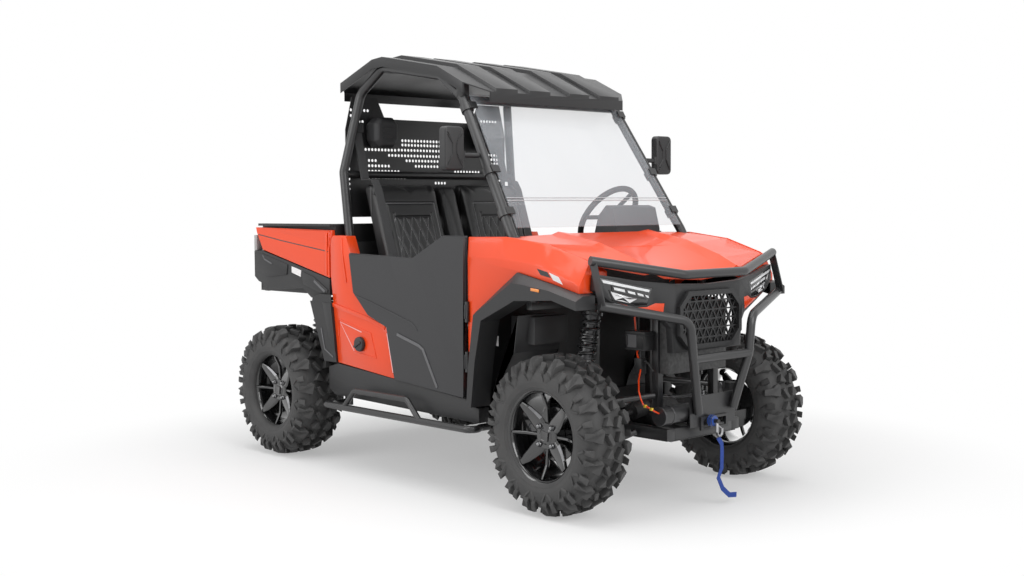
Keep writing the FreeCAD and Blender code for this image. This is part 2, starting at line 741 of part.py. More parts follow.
def step_bars():
    """A tubular step along each sill, bolted to tabs on the outriggers, with a raised upper rail."""
    inner = outrigger_half_width + seat_gap
    rear_x, front_x = outrigger_x[1], outrigger_x[0]
    lower = tube([at(rear_x, inner, step_height), at(rear_x, inner + step_end, step_height),
                  at(rear_x - step_end, step_y, step_height), at(front_x + step_end, step_y, step_height),
                  at(front_x, inner + step_end, step_height), at(front_x, inner, step_height)], step_radius, step_bend)
    start, finish = [rear_x + (front_x - rear_x) * share for share in step_upper_ends_share]
    raised = step_height + step_rise
    upper = tube([at(start, step_y, step_height), at(start + step_rise, step_y, raised),
                  at(finish - step_rise, step_y, raised), at(finish, step_y, step_height)],
                 step_upper_radius, step_bend)
    save("step_bars", both([weld([lower, upper])]))


# Roll cage
cage_radius = 22.0
cage_bend = 70.0
cage_tie_radius = 18.0
cage_tie_stations = (2, 4, 6)
cage_foot_length = 60.0


def cage_line():
    """The centre line of the left side of the cage, from its front foot to its rear foot."""
    points = [at(x, cab_half_width * width, z) for (x, z), width in zip(high_points(cage_shares), cage_width_shares)]
    foot = at(cowl_bar_x, points[0].y, tower_top + seat_gap)
    heel = at(points[-1].x, points[-1].y, seat_box_top + seat_gap)
    return [foot] + points[:-1] + [heel]


def cage_ties(radius):
    """The cross tubes above the windscreen, at the ridge and behind the seats."""
    line = cage_line()
    ties = []
    for station in cage_tie_stations:
        point = line[station + 1] - at(0, 0, cage_radius / 2)
        ties.append(rod(at(point.x, -point.y, point.z), point, radius))
    return ties


def roll_cage():
    """Two bent side tubes and the cross tubes between them."""
    side = tube(cage_line(), cage_radius, cage_bend)
    save("roll_cage", [weld([side, mirror(side)] + cage_ties(cage_tie_radius))])


# Roof, windscreen and rear screen
roof_setback = 120.0
roof_half_width = cab_half_width - roof_setback
roof_skirt = 46.0
roof_wall = 5.0
roof_rib_height = 16.0
roof_rib_half_width = 66.0
roof_corner = 90.0
roof_rib_place_shares = (0.30, 0.78, -0.30, -0.78)
roof_pad_width = 36.0
roof_pad_stations = (3, 5)
glass_thick = 5.0
glass_setback = 18.0
glass_lift = 12.0
glass_split_share = 0.22
clamp_shares = (0.135, 0.437, 0.91)
clamp_radius = 28.0
clamp_length = 34.0
clamp_width = 10.0
clamp_joint = 14.0
clamp_cover = 34.0
clamp_thick = 6.0
screen_setback = 110.0
screen_half = cab_half_width - screen_setback
screen_top_half_share = 0.925
screen_rise = 78.0
screen_peak_drop = 168.0
window_depth = 100.0
screen_shoulder_drop = 60.0
window_low_half = 287.0
window_high_half = 336.0
screen_low = belt_height + screen_rise
screen_high = roof_peak_height - screen_peak_drop
window_low = screen_high - window_depth
headrest_length = 115.0
headrest_width = 145.0
headrest_height = 150.0
headrest_drop = 248.0
headrest_low = screen_high - headrest_drop
headrest_y = 352.0
seat_centre_y = 283.0


def roof():
    """The hard roof: folded slopes with a skirt, raised ribs and pads that sit on the cage."""
    top = high_points(roof_top_shares)
    slab = side_prism(top + shifted(reversed(top), 0, -roof_skirt), -roof_half_width, roof_half_width)
    room_outline = shifted(top, 0, -roof_wall) + shifted(reversed(top), 0, -roof_skirt - overrun)
    room = side_prism(room_outline, roof_wall - roof_half_width, roof_half_width - roof_wall)
    inner = block(top[0][0] + roof_wall, top[-1][0] - roof_wall, -roof_half_width, roof_half_width, 0,
                  roof_peak_height + overrun)
    rear_x, front_x = top[0][0], top[-1][0]
    corner_y = roof_half_width - roof_corner
    plan = [(rear_x, -corner_y), (rear_x, corner_y), (rear_x + roof_corner, roof_half_width),
            (front_x - roof_corner, roof_half_width), (front_x, corner_y), (front_x, -corner_y),
            (front_x - roof_corner, -roof_half_width), (rear_x + roof_corner, -roof_half_width)]
    shell = slab.cut(room.common(inner)).common(plan_prism(plan, 0, roof_peak_height))
    ribs = []
    rib_top = shifted(top[1:], 0, roof_rib_height)
    for share in roof_rib_place_shares:
        middle = corner_y * share
        ribs.append(side_prism(top + list(reversed(rib_top)), middle - roof_rib_half_width,
                               middle + roof_rib_half_width))
    line = cage_line()
    pads = []
    for station in roof_pad_stations:
        point = line[station]
        pads.append(block(point.x - roof_pad_width / 2, point.x + roof_pad_width / 2, point.y - cage_radius,
                          point.y + cage_radius, point.z, roof_peak_height))
    under = side_prism(top + shifted(reversed(top), 0, -roof_peak_height / 4), -roof_half_width, roof_half_width)
    saddle = Part.makeCompound([tube(line, cage_radius + seat_gap, cage_bend)] + cage_ties(cage_tie_radius + seat_gap))
    posts = [pad.common(under).cut(saddle) for pad in pads]
    tops = [max(post.Solids, key=lambda solid: solid.Volume) for post in posts]
    save("roof", [weld([shell] + ribs + both(tops))])


def windscreen():
    """A clear sheet in two panes ahead of the front pillars, and the six clamps that hold it."""
    line = cage_line()
    low, high = line[2], line[3]
    run = at(high.x - low.x, 0, high.z - low.z)
    height = run.Length
    run.normalize()
    normal = at(run.z, 0, -run.x)
    lift = normal * (cage_radius + seat_gap)
    panes = []
    first = glass_lift / height
    for start, end in ((first, glass_split_share), (glass_split_share + seat_gap / height, 1)):
        corners = []
        for share in (start, end):
            point = low + (high - low) * share
            middle = at(point.x, 0, point.z) + lift
            corners.append((middle, at(0, point.y - glass_setback, 0)))
        (bottom, bottom_y), (top, top_y) = corners
        outline = [bottom - bottom_y, bottom + bottom_y, top + top_y, top - top_y]
        panes.append(face_of(outline).extrude(normal * glass_thick))
    save("windscreen", panes)
    axis = (high - low).normalize()
    front = cage_radius + glass_thick + 2 * seat_gap
    shape = [(cage_radius / 2, -clamp_width), (front + clamp_thick, -clamp_width), (front + clamp_thick, clamp_cover),
             (front, clamp_cover), (front, clamp_joint), (cage_radius / 2, clamp_joint)]
    clamps = []
    for share in clamp_shares:
        point = low + (high - low) * share
        start = point - run * (clamp_length / 2)
        lug = face_of([start + normal * out - at(0, inward, 0) for out, inward in shape]).extrude(run * clamp_length)
        collar = rod(point - axis * (clamp_length / 2), point + axis * (clamp_length / 2), clamp_radius)
        pillar = rod(low, high, cage_radius + seat_gap)
        clamps.append(weld([collar, lug]).cut(pillar))
    save("screen_clamps", both(clamps))


def rear_screen_x():
    """The front face of the panel behind the seats, just behind the cage's cross tube."""
    return cage_line()[7].x - cage_tie_radius - seat_gap


def screen_and_headrests():
    """The panel behind the seats, open at its top for the rear window, and the headrests on it."""
    screen_x = rear_screen_x()
    top_half = screen_half * screen_top_half_share
    half_outline = [(screen_half, screen_low), (screen_half, window_low - screen_shoulder_drop),
                    (top_half, screen_high), (window_high_half, screen_high), (window_low_half, window_low)]
    outline = half_outline + [(-y, z) for y, z in reversed(half_outline)]
    save("rear_screen", [front_prism(outline, screen_x - sheet_wall, screen_x)])
    half = headrest_width / 2
    pad = block(screen_x + seat_gap, screen_x + headrest_length, headrest_y - half, headrest_y + half,
                headrest_low, headrest_low + headrest_height)
    save("headrests", both([pad]))


# Seats
seat_half_width = 217.0
cushion_thick = 124.0
cushion_shares = [(0, 0), (1, 0), (1, 0.7), (0.93, 0.95)]
centre_pad_half = 56.0
centre_pad_height_share = 0.85
seat_front_share = 0.585
seat_front_x = station_x(seat_front_share)
belt_y = 465.0
belt_half = 23.0
belt_thick = 3.0
belt_anchor_height = 1654.0
belt_anchor_half = 20.0
belt_anchor_thick = 8.0


def seats():
    """Two bucket seats and the narrow pad between them, each a cushion and a back."""
    back = high_points(seat_back_shares)
    cushion_top = back[0][1] - seat_gap
    low = seat_box_top + seat_gap
    outline = spread(cushion_shares, back[0][0], seat_front_x, low, cushion_top)
    flat = outline + [(back[1][0], cushion_top), (back[0][0], cushion_top)]
    left, right = seat_centre_y - seat_half_width, seat_centre_y + seat_half_width
    save("seat_cushions", both([side_prism(flat, left, right)]) + [
        side_prism(flat, -centre_pad_half, centre_pad_half)])
    foot = back[0][1]
    pad_back = [(x, foot + (z - foot) * centre_pad_height_share) for x, z in back]
    save("seat_backs", both([side_prism(back, left, right)]) + [
        side_prism(pad_back, -centre_pad_half, centre_pad_half)])


def seat_belts():
    """A belt over each seat back, from the seat's foot up to an anchor on the rear screen."""
    back = high_points(seat_back_shares)
    under, over = inset(back, -seat_gap), inset(back, -seat_gap - belt_thick)
    anchor_x = rear_screen_x() + seat_gap
    outline = under[2:6] + [(anchor_x, belt_anchor_height), (anchor_x + 2 * belt_thick, belt_anchor_height),
                            (over[5][0] + 3 * belt_thick, over[5][1])]
    outline += list(reversed(over[2:5]))
    strip = side_prism(outline, belt_y - belt_half, belt_y + belt_half)
    anchor = block(anchor_x, anchor_x + belt_anchor_thick, belt_y - belt_half, belt_y + belt_half,
                   belt_anchor_height - belt_anchor_half, belt_anchor_height + belt_anchor_half)
    save("seat_belts", both([weld([strip, anchor])]))


# Dashboard, steering column and wheel
dash_setback = 120.0
dash_half = cab_half_width - dash_setback
pod_inner_y = 140.0
pod_outer_y = 440.0
driver_y = 290.0
wheel_radius = 178.0
wheel_tube = 14.0
wheel_hub_shares = (0.731, 0.085)
column_lean = 35.0
column_radius = 26.0
column_length = 150.0
hub_cap_radius = 42.0
wheel_spoke_radius = 10.0
wheel_spoke_angles = (90.0, 210.0, 330.0)


def steering_line():
    """The steering wheel's centre, and the direction of its column down to the front."""
    x, z = high_point(wheel_hub_shares)
    lean = math.radians(column_lean)
    return at(x, driver_y, z), at(math.cos(lean), 0, -math.sin(lean))


def cockpit():
    """The dashboard with the gauge pod and column shroud, and the steering wheel."""
    hub, way = steering_line()
    dash = side_prism(high_points(dash_shares), -dash_half, dash_half)
    pod = side_prism(high_points(pod_shares), pod_inner_y, pod_outer_y)
    start = hub + way * (2 * wheel_tube + running_gap)
    shroud = rod(start, start + way * column_length, column_radius)
    brackets = []
    for x, y0, y1, z in hood_bracket_places():
        brackets.append(block(x - 3 * overrun, x, y0, y1, z - 3 * overrun, z + hood_barrel_radius))
        brackets.append(rod(at(x, y0, z), at(x, y1, z), hood_barrel_radius))
    save("dashboard", [weld([dash, pod, shroud] + brackets + hood_pins())])
    ring = Part.makeTorus(wheel_radius - wheel_tube, wheel_tube, hub, way)
    boss = rod(hub - way * wheel_tube, hub + way * (2 * wheel_tube), hub_cap_radius)
    up = way.cross(Y_AXIS)
    up.normalize()
    spokes = [turned(rod(hub, hub + up * (wheel_radius - wheel_tube), wheel_spoke_radius), angle, way, hub)
              for angle in wheel_spoke_angles]
    save("steering_wheel", [weld([ring, boss] + spokes)])


# Hood lid on two hinges, front fenders and flares
hood_thick = 14.0
hood_side_gap = 10.0
hood_valley_share = 0.38
hood_ridge_share = 0.50
hood_shoulder_share = 0.57
hood_valley_rise_share = 0.1
hood_ridge_rise = 12.0
hood_centre_shares = (1.006, 0.953, 0.893, 0.845)
hood_edge_drop = 2.0
hood_front_plan_shares = ((1.139, 0.0), (1.124, 0.46), (1.085, 0.88))
hood_barrel_radius = 9.0
hood_pin_radius = 5.0
hood_hinge_y = 300.0
hood_hinge_half = 30.0
hood_bracket_thick = 10.0
cage_notch = 12.0
fender_lip = 4.0
fender_drop = 90.0
fender_setback = 164.0
arch_setback = 60.0
arch_stand_out = 50.0
arch_shoulder_out = 10.0
arch_fold_share = 0.35
fender_inner_y = cab_half_width - fender_setback
arch_inner_y = cab_half_width - arch_setback
arch_outer_y = cab_half_width + arch_stand_out
arch_shoulder_y = cab_half_width + arch_shoulder_out
arch_wall = 5.0


def hood_hinge():
    """The hinge axis of the hood lid, just behind and under its rear edge."""
    x, z = low_point((hood_station_shares[0], hood_centre_shares[0]))
    return x - hood_barrel_radius + seat_gap, z - hood_thick - hood_barrel_radius


def hood_bracket_places():
    x, z = hood_hinge()
    places = []
    for side in (-1, 1):
        for edge in (-1, 1):
            inner = side * hood_hinge_y + edge * (hood_hinge_half + running_gap)
            outer = inner + edge * hood_bracket_thick
            places.append((x, min(inner, outer), max(inner, outer), z))
    return places


def hood_pins():
    x, z = hood_hinge()
    reach = hood_hinge_half + running_gap + hood_bracket_thick
    return [rod(at(x, side * hood_hinge_y - reach, z), at(x, side * hood_hinge_y + reach, z), hood_pin_radius)
            for side in (-1, 1)]


def crease_at(along):
    """The (y, z) point of the fender's crease at a share of the wheelbase."""
    stations = list(zip(crease_station_shares, crease_width_shares, crease_height_shares))
    for (s0, y0, z0), (s1, y1, z1) in zip(stations, stations[1:]):
        if s0 <= along <= s1:
            t = (along - s0) / (s1 - s0)
            return cab_half_width * (y0 + (y1 - y0) * t), belt_height * (z0 + (z1 - z0) * t)
    return cab_half_width * crease_width_shares[-1], belt_height * crease_height_shares[-1]


def hood_section(index, drop):
    """One closed section across the hood, lowered by a drop for its underside."""
    along = hood_station_shares[index]
    x = station_x(along)
    crease_y, crease_z = crease_at(along)
    edge_y = crease_y - fender_lip - hood_side_gap
    centre_z = belt_height * hood_centre_shares[index]
    rise = hood_ridge_rise + (crease_z - centre_z) * hood_ridge_share
    half = [(0, centre_z), (edge_y * hood_valley_share, centre_z + (crease_z - centre_z) * hood_valley_rise_share),
            (edge_y * hood_ridge_share, centre_z + rise), (edge_y * hood_shoulder_share, centre_z + rise - hood_ridge_rise),
            (edge_y, crease_z - hood_edge_drop)]
    line = [(-y, z) for y, z in reversed(half[1:])] + half
    return [at(x, y, z - drop) for y, z in line]


def hood():
    """The hood lid: a creased panel between the fenders, with barrels for its hinge pins."""
    sections = []
    for index in range(len(hood_station_shares)):
        sections.append(hood_section(index, 0) + list(reversed(hood_section(index, hood_thick))))
    lid = ruled(sections)
    front = [(station_x(along), cab_half_width * width) for along, width in hood_front_plan_shares]
    rear_x = station_x(hood_station_shares[0])
    plan = [(rear_x, -cab_half_width), (rear_x, cab_half_width), (front[-1][0], cab_half_width)]
    plan += list(reversed(front)) + [(x, -y) for x, y in front[1:]] + [(front[-1][0], -cab_half_width)]
    lid = lid.common(plan_prism(plan, 0, belt_height + belt_height))
    x, z = hood_hinge()
    barrels = []
    for side in (-1, 1):
        y0, y1 = side * hood_hinge_y - hood_hinge_half, side * hood_hinge_y + hood_hinge_half
        barrels.append(rod(at(x, y0, z), at(x, y1, z), hood_barrel_radius))
        barrels.append(block(x, x + 4 * hood_barrel_radius, y0, y1, z + hood_barrel_radius / 2, z + hood_thick))
    bores = [rod(at(x, side * hood_hinge_y - hood_hinge_half, z), at(x, side * hood_hinge_y + hood_hinge_half, z),
                 hood_pin_radius + running_gap) for side in (-1, 1)]
    notch = tube(cage_line(), cage_radius + cage_notch, cage_bend)
    cut = weld([lid] + barrels).cut(Part.makeCompound(bores + both([notch])))
    save("hood", [max(cut.Solids, key=lambda solid: solid.Volume)])


def fender_section(along, low_z):
    """A closed section across the left fender, and the section of the space inside it."""
    x = station_x(along)
    crease_y, crease_z = crease_at(along)
    gutter_z = crease_z - hood_thick - hood_side_gap - hood_ridge_rise
    side_z = crease_z - fender_drop
    skin = [(crease_y, crease_z), (cab_half_width, side_z), (cab_half_width, low_z), (fender_inner_y, low_z),
            (fender_inner_y, gutter_z), (crease_y - fender_lip, gutter_z), (crease_y - fender_lip, crease_z)]
    room = [(crease_y - fender_lip / 2, gutter_z - panel_wall), (cab_half_width - panel_wall, side_z),
            (cab_half_width - panel_wall, low_z - overrun), (fender_inner_y + panel_wall, low_z - overrun),
            (fender_inner_y + panel_wall, gutter_z - panel_wall)]
    return [at(x, y, z) for y, z in skin], [at(x, y, z) for y, z in room]


def fenders():
    """The cowls beside the hood, hollow, cut away over the wheels and round the cage's front feet."""
    low_z = belt_height * fender_rear_shares[0][1]
    stations = crease_station_shares[:-1] + (fender_front_shares[0][0],)
    pairs = [fender_section(along, low_z) for along in stations]
    skin = ruled([skin for skin, room in pairs])
    room = ruled([room for skin, room in pairs])
    arch = shifted(low_points(arch_outer_shares), -seat_gap, seat_gap)
    front_x = low_point(fender_front_shares[0])[0]
    below = [(arch[0][0], 0)] + arch + [(front_x + wheelbase, arch[-1][1]), (front_x + wheelbase, 0)]
    wheel_room = side_prism(below, 0, 2 * cab_half_width)
    end_x = front_x - panel_wall
    start_x = low_point((crease_station_shares[0], 0))[0] + panel_wall
    keep = block(start_x, end_x, 0, 2 * cab_half_width, 0, 2 * belt_height)
    cage_hole = tube(cage_line(), cage_radius + seat_gap, cage_bend)
    cab_room = block(0, low_point(dash_shares[-1])[0] + seat_gap, 0, sill_y, 0, 2 * belt_height)
    left = skin.cut(room.common(keep)).cut(wheel_room).cut(cage_hole).cut(cab_room)
    largest = max(left.Solids, key=lambda solid: solid.Volume)
    save("front_fenders", both([largest]))


def flare(outer, inner, inner_y):
    """A hollow wheel arch moulding through matching points of its outer and inner edges."""
    skins, rooms = [], []
    for (ox, oz), (ix, iz) in zip(outer, inner):
        width = math.hypot(ix - ox, iz - oz)
        ux, uz = (ix - ox) / width, (iz - oz) / width
        shares = [(0, inner_y), (0, arch_shoulder_y), (arch_fold_share, arch_outer_y), (1, arch_outer_y), (1, inner_y)]
        skins.append([at(ox + ux * width * s, y, oz + uz * width * s) for s, y in shares])
        thin = width - 2 * arch_wall
        room = [(0, inner_y - overrun), (0, arch_shoulder_y - arch_wall), (arch_fold_share, arch_outer_y - arch_wall),
                (1, arch_outer_y - arch_wall), (1, inner_y - overrun)]
        rooms.append([at(ox + ux * (arch_wall + thin * s), y, oz + uz * (arch_wall + thin * s)) for s, y in room])
    for end, neighbour in ((0, 1), (-1, -2)):
        step = (rooms[neighbour][0] - rooms[end][0]).normalize() * arch_wall
        rooms[end] = [point + step for point in rooms[end]]
    return ruled(skins).cut(ruled(rooms))


def flares():
    """The black arch mouldings over the front wheels and ahead of the rear wheels."""
    front = flare(low_points(arch_outer_shares), low_points(arch_inner_shares), arch_inner_y)
    rear = side_shell(shifted(low_points(flare_rear_shares), -seat_gap, 0), sill_y, arch_shoulder_y, panel_wall)
    save("wheel_arches", both([front, rear]))


panel_rise = 1.2
fuel_cap_x = -318.0
fuel_cap_z = 613.0
fuel_cap_radius = 35.0
fuel_cap_thick = 14.0


def rear_panels():
    """The body-coloured panels between the doors and the rear wheels, hollow behind, and the fuel cap."""
    door = low_points(door_outline_shares)
    front = shifted(door[1:6], -panel_gap, panel_rise)
    outline = front + low_points(panel_rear_shares)
    shell = side_shell(outline, sill_y, cab_half_width, panel_wall)
    save("rear_panels", both([shell]))
    face_y = -cab_half_width - seat_gap
    save("fuel_cap", [rod(at(fuel_cap_x, face_y, fuel_cap_z), at(fuel_cap_x, face_y - fuel_cap_thick, fuel_cap_z),
                          fuel_cap_radius)])


# Splash liners behind the front wheels, and the wiring box on the front tower
liner_places = [(515.0, 400.0), (530.0, 450.0), (575.0, 560.0), (665.0, 640.0), (690.0, 800.0)]
liner_inner_y = 300.0
liner_outer_y = 572.0
liner_box = (575.0, 720.0, 672.0, 790.0)
liner_box_outer_y = 500.0
wiring_box_place = (1020.0, 1125.0, 660.0, 735.0)
wiring_box_thick = 60.0
junction_place = (1045.0, 1083.0, 553.0, 622.0)
junction_thick = 36.0
conduit_radius = 8.0


def liners_and_boxes():
    """The liners that keep splash off the cab's front, and the boxes for the wiring."""
    sheet = liner_places + shifted(reversed(liner_places), panel_wall, 0)
    x0, x1, z0, z1 = liner_box
    body = block(x0, x1, liner_inner_y, liner_box_outer_y, z0, z1)
    save("wheel_liners", both([weld([side_prism(sheet, liner_inner_y, liner_outer_y), body])]))
    face = -tower_half_width - seat_gap
    x0, x1, z0, z1 = wiring_box_place
    upper = block(x0, x1, face - wiring_box_thick, face, z0, z1)
    x2, x3, z2, z3 = junction_place
    lower = block(x2, x3, face - junction_thick, face, z2, z3)
    middle_x, middle_y = (x2 + x3) / 2, face - junction_thick / 2
    conduit = rod(at(middle_x, middle_y, z3 - conduit_radius), at(middle_x, middle_y, z0 + conduit_radius),
                  conduit_radius)
    save("wiring_box", [weld([upper, lower, conduit])])


# Cargo bed, tipping about a tube at the back of the chassis
bed_setback = 40.0
bed_half_width = cab_half_width - bed_setback
bed_front_x = low_point(bed_side_shares[2])[0] + 2 * seat_gap
bed_rear_reach = 195.0
bed_rear_x = rear_axle_x - bed_rear_reach
bed_runner = 30.0
bed_floor_thick = 6.0
bed_wall = 10.0
bed_rail_rise = 46.0
bed_rail_top = belt_height + bed_rail_rise
bed_rail_width = 45.0
bed_rail_thick = 12.0
bed_ear_thick = 10.0
bed_ear_radius = 22.0
bed_pivot_radius = 12.0
bed_pivot_x = rear_tower_rear_x
bed_pivot_rise = 8.0
bed_pivot_z = rear_tower_top + bed_pivot_rise
gate_thick = 24.0
gate_gap = 12.0
gate_setback = 15.0
gate_half_width = bed_half_width - gate_setback
gate_low = 840.0
gate_pin_radius = 6.0
gate_pivot_z = gate_low + gate_thick / 2
gate_pivot_x = bed_rear_x - gate_gap - gate_thick / 2
gate_ear_height = 60.0
lamp_gap = 80.0
bed_floor_z = rear_tower_top + seat_gap + bed_runner


def cargo_bed():
    """The tub with its runners, hinge ears and top rails, its coloured sides, skirts and tail lamps."""
    inner = bed_half_width - bed_wall
    parts = [block(bed_rear_x, bed_front_x, -bed_half_width, bed_half_width, bed_floor_z,
                   bed_floor_z + bed_floor_thick),
             block(bed_front_x - bed_wall, bed_front_x, -bed_half_width, bed_half_width, bed_floor_z, bed_rail_top)]
    for side in (-1, 1):
        parts.append(block(bed_rear_x, bed_front_x, side * inner, side * bed_half_width, bed_floor_z, bed_rail_top))
        parts.append(block(bed_rear_x, bed_front_x, side * inner, side * (inner + bed_rail_width),
                           bed_rail_top - bed_rail_thick, bed_rail_top))
        parts.append(block(gate_pivot_x - gate_thick / 2, bed_rear_x, side * inner, side * bed_half_width,
                           bed_floor_z, bed_floor_z + gate_ear_height))
        middle = side * (tower_half_width - tower_tube / 2)
        parts.append(block(bed_pivot_x + bed_ear_radius + moving_gap, rear_tower_front_x, middle - tower_tube / 2,
                           middle + tower_tube / 2, bed_floor_z - bed_runner, bed_floor_z))
        y0 = side * (tower_half_width + running_gap)
        y1 = y0 + side * bed_ear_thick
        parts.append(rod(at(bed_pivot_x, y0, bed_pivot_z), at(bed_pivot_x, y1, bed_pivot_z), bed_ear_radius))
        parts.append(block(bed_pivot_x - bed_ear_radius, bed_pivot_x + bed_ear_radius, y0, y1, bed_pivot_z,
                           bed_floor_z + bed_floor_thick))
    holes = [rod(at(bed_pivot_x, -bed_half_width, bed_pivot_z), at(bed_pivot_x, bed_half_width, bed_pivot_z),
                 bed_pivot_radius + running_gap),
             rod(at(gate_pivot_x, -bed_half_width, gate_pivot_z), at(gate_pivot_x, bed_half_width, gate_pivot_z),
                 gate_pin_radius + running_gap)]
    save("bed_tub", [weld(parts).cut(Part.makeCompound(holes))])
    gate = block(gate_pivot_x - gate_thick / 2, gate_pivot_x + gate_thick / 2, -gate_half_width, gate_half_width,
                 gate_low, bed_rail_top - bed_rail_thick)
    reach = bed_half_width - running_gap
    pin = rod(at(gate_pivot_x, -reach, gate_pivot_z), at(gate_pivot_x, reach, gate_pivot_z), gate_pin_radius)
    save("tailgate", [weld([gate, pin])])
    outer_face = bed_half_width + seat_gap
    save("bed_sides", both([side_shell(low_points(bed_side_shares), outer_face, cab_half_width, panel_wall)]))
    skirt = shifted(low_points(bed_skirt_shares), 0, -seat_gap)
    save("bed_skirts", both([side_shell(skirt, outer_face, cab_half_width, panel_wall)]))
    lamp_low = skirt[1][1] + seat_gap
    rear_x = skirt[1][0]
    lamp = block(rear_x, rear_x + gate_thick, outer_face, cab_half_width, lamp_low, lamp_low + lamp_gap)
    save("tail_lamps", both([lamp]))


# Nose: fascia, lamps, trims, grille, radiator
nose_station_share = 1.159
nose_x = station_x(nose_station_share)
nose_flat_half = 215.0
nose_corner_half = arch_inner_y - seat_gap
nose_sweep = 100.0
nose_depth = 30.0
fascia_shares = [(0, 0.820), (0.36, 0.827), (0.69, 0.845), (0.99, 0.872), (1.0, 0.815), (0.89, 0.776),
                 (0.70, 0.742), (0.46, 0.701), (0.40, 0.668), (0.388, 0.578), (0, 0.578)]
lamp_shares = [(0.55, 0.816), (0.975, 0.860), (0.885, 0.780), (0.70, 0.756), (0.60, 0.756)]
trim_shares = [(0.86, 0.776), (0.70, 0.750), (0.60, 0.750), (0.53, 0.762), (0.455, 0.760), (0.47, 0.712), (0.69, 0.745)]
grille_half = 205.0
grille_low = 665.0
grille_high = 905.0
grille_corner = 60.0
grille_frame = 20.0
grille_depth = 40.0
grille_bar = 6.0
grille_bar_depth = 8.0
grille_pitch = 38.0
grille_slopes = (60.0, -60.0, 0.0)
radiator_half = 190.0
radiator_low = 560.0
radiator_high = 850.0
radiator_thick = 50.0


def nose_slab(depth):
    """A swept band of one depth behind the nose's front line, seen from above."""
    corner_x = nose_x - nose_sweep
    front = [(corner_x, -nose_corner_half), (nose_x, -nose_flat_half), (nose_x, nose_flat_half),
             (corner_x, nose_corner_half)]
    back = [(x - depth, y) for x, y in reversed(front)]
    return plan_prism(front + back, 0, belt_height)


def face_outline(shares):
    """Front view points from shares of the nose's half width and the belt height."""
    return [(y * nose_corner_half, z * belt_height) for y, z in shares]


def octagon(half, low, high, corner):
    """An octagonal front view outline."""
    return [(-half, low + corner), (corner - half, low), (half - corner, low), (half, low + corner),
            (half, high - corner), (half - corner, high), (corner - half, high), (-half, high - corner)]


def nose():
    """The black fascia with openings for the lamps, coloured trims and grille, and those pieces."""
    right = face_outline(fascia_shares)
    outline = right + [(-y, z) for y, z in reversed(right) if y > 0]
    slab = nose_slab(nose_depth)
    body = slab.common(front_prism(outline, 0, overall_length))
    behind = nose_slab(nose_depth)
    behind.translate(at(-panel_wall, 0, 0))
    room = behind.common(front_prism(inset(outline, panel_wall), 0, overall_length))
    fascia = body.cut(room)
    lamps, trims = [], []
    for shares, pieces in ((lamp_shares, lamps), (trim_shares, trims)):
        outline = face_outline(shares)
        window = front_prism(outline, 0, overall_length)
        insert = nose_slab(nose_depth).common(front_prism(inset(outline, seat_gap), 0, overall_length))
        fascia = fascia.cut(window).cut(mirror(window))
        pieces += both([insert])
    hole = front_prism(octagon(grille_half + seat_gap, grille_low - seat_gap, grille_high + seat_gap, grille_corner),
                       0, overall_length)
    save("front_fascia", [max(fascia.cut(hole).Solids, key=lambda solid: solid.Volume)])
    save("headlamps", lamps)
    save("nose_trims", trims)


def grille():
    """An octagonal frame filled with a lattice of bars in three directions."""
    back = nose_x - grille_depth / 2
    frame = front_prism(octagon(grille_half, grille_low, grille_high, grille_corner), back, back + grille_depth)
    mouth_outline = octagon(grille_half - grille_frame, grille_low + grille_frame, grille_high - grille_frame,
                            grille_corner - grille_frame / 2)
    mouth = front_prism(mouth_outline, back - overrun, back + grille_depth + overrun)
    middle = at(back + grille_depth / 2, 0, (grille_low + grille_high) / 2)
    reach = grille_half + grille_high - grille_low
    bars = []
    count = int(grille_half / grille_pitch) + 2
    for slope in grille_slopes:
        for i in range(-count, count + 1):
            offset = i * grille_pitch
            bar = Part.makeBox(grille_bar_depth, 2 * reach, grille_bar, middle + at(0, -reach, offset - grille_bar / 2))
            bar.rotate(middle, X_AXIS, slope)
            bars.append(bar)
    lattice = Part.makeCompound(bars).common(mouth)
    save("grille", [weld([frame.cut(mouth)] + lattice.Solids)])
    face_x = tower_front_x + tower_tube / 2 + seat_gap
    save("radiator", [block(face_x, face_x + radiator_thick, -radiator_half, radiator_half, radiator_low,
                            radiator_high)])


# Front guard and winch
guard_radius = 19.0
guard_bend = 60.0
guard_front_x = overall_length / 2 - guard_radius
guard_top_end = (200.0, 601.0, 1043.0)
guard_top_bend = (54.0, 199.0, 977.0)
guard_side_start = (164.0, 590.0, 867.0)
guard_knee = (guard_radius, 205.0, 790.0)
guard_cross = (guard_radius, 185.0, 632.0)
guard_foot = (49.0, 114.0, 400.0)
bracket_half = 18.0
bracket_thick = 6.0
tray_half = 150.0
tray_thick = 6.0
tray_front_back = 64.0
tray_rear_back = 155.0
tray_top = 470.0
winch_setback = 112.0
winch_height = 400.0
drum_half = 75.0
drum_radius = 30.0
winch_end_radius = 37.0
winch_motor_end = 290.0
winch_gear_end = 180.0
fairlead_half = 90.0
fairlead_thick = 10.0
fairlead_low = 325.0
fairlead_high = 380.0
stop_y = -33.0
stop_z = 363.0
stop_radius = 24.0
stop_length = 25.0
hook_out = 12.0
hook_low = 300.0
hook_tip = 330.0
hook_width = 32.0
hook_radius = 6.0
shank_radius = 9.0
hook_bend = 12.0
strap_half = 11.0
strap_thick = 2.5
strap_places = [(-17.0, 293.0), (8.0, 262.0), (10.0, 228.0), (8.0, 160.0), (-14.0, 122.0), (15.0, 72.0),
                (60.0, 38.0), (109.0, 32.0)]


def guard_point(place):
    """A point of the guard from its distance behind the vehicle's foremost point."""
    back, y, z = place
    return at(overall_length / 2 - back, y, z)


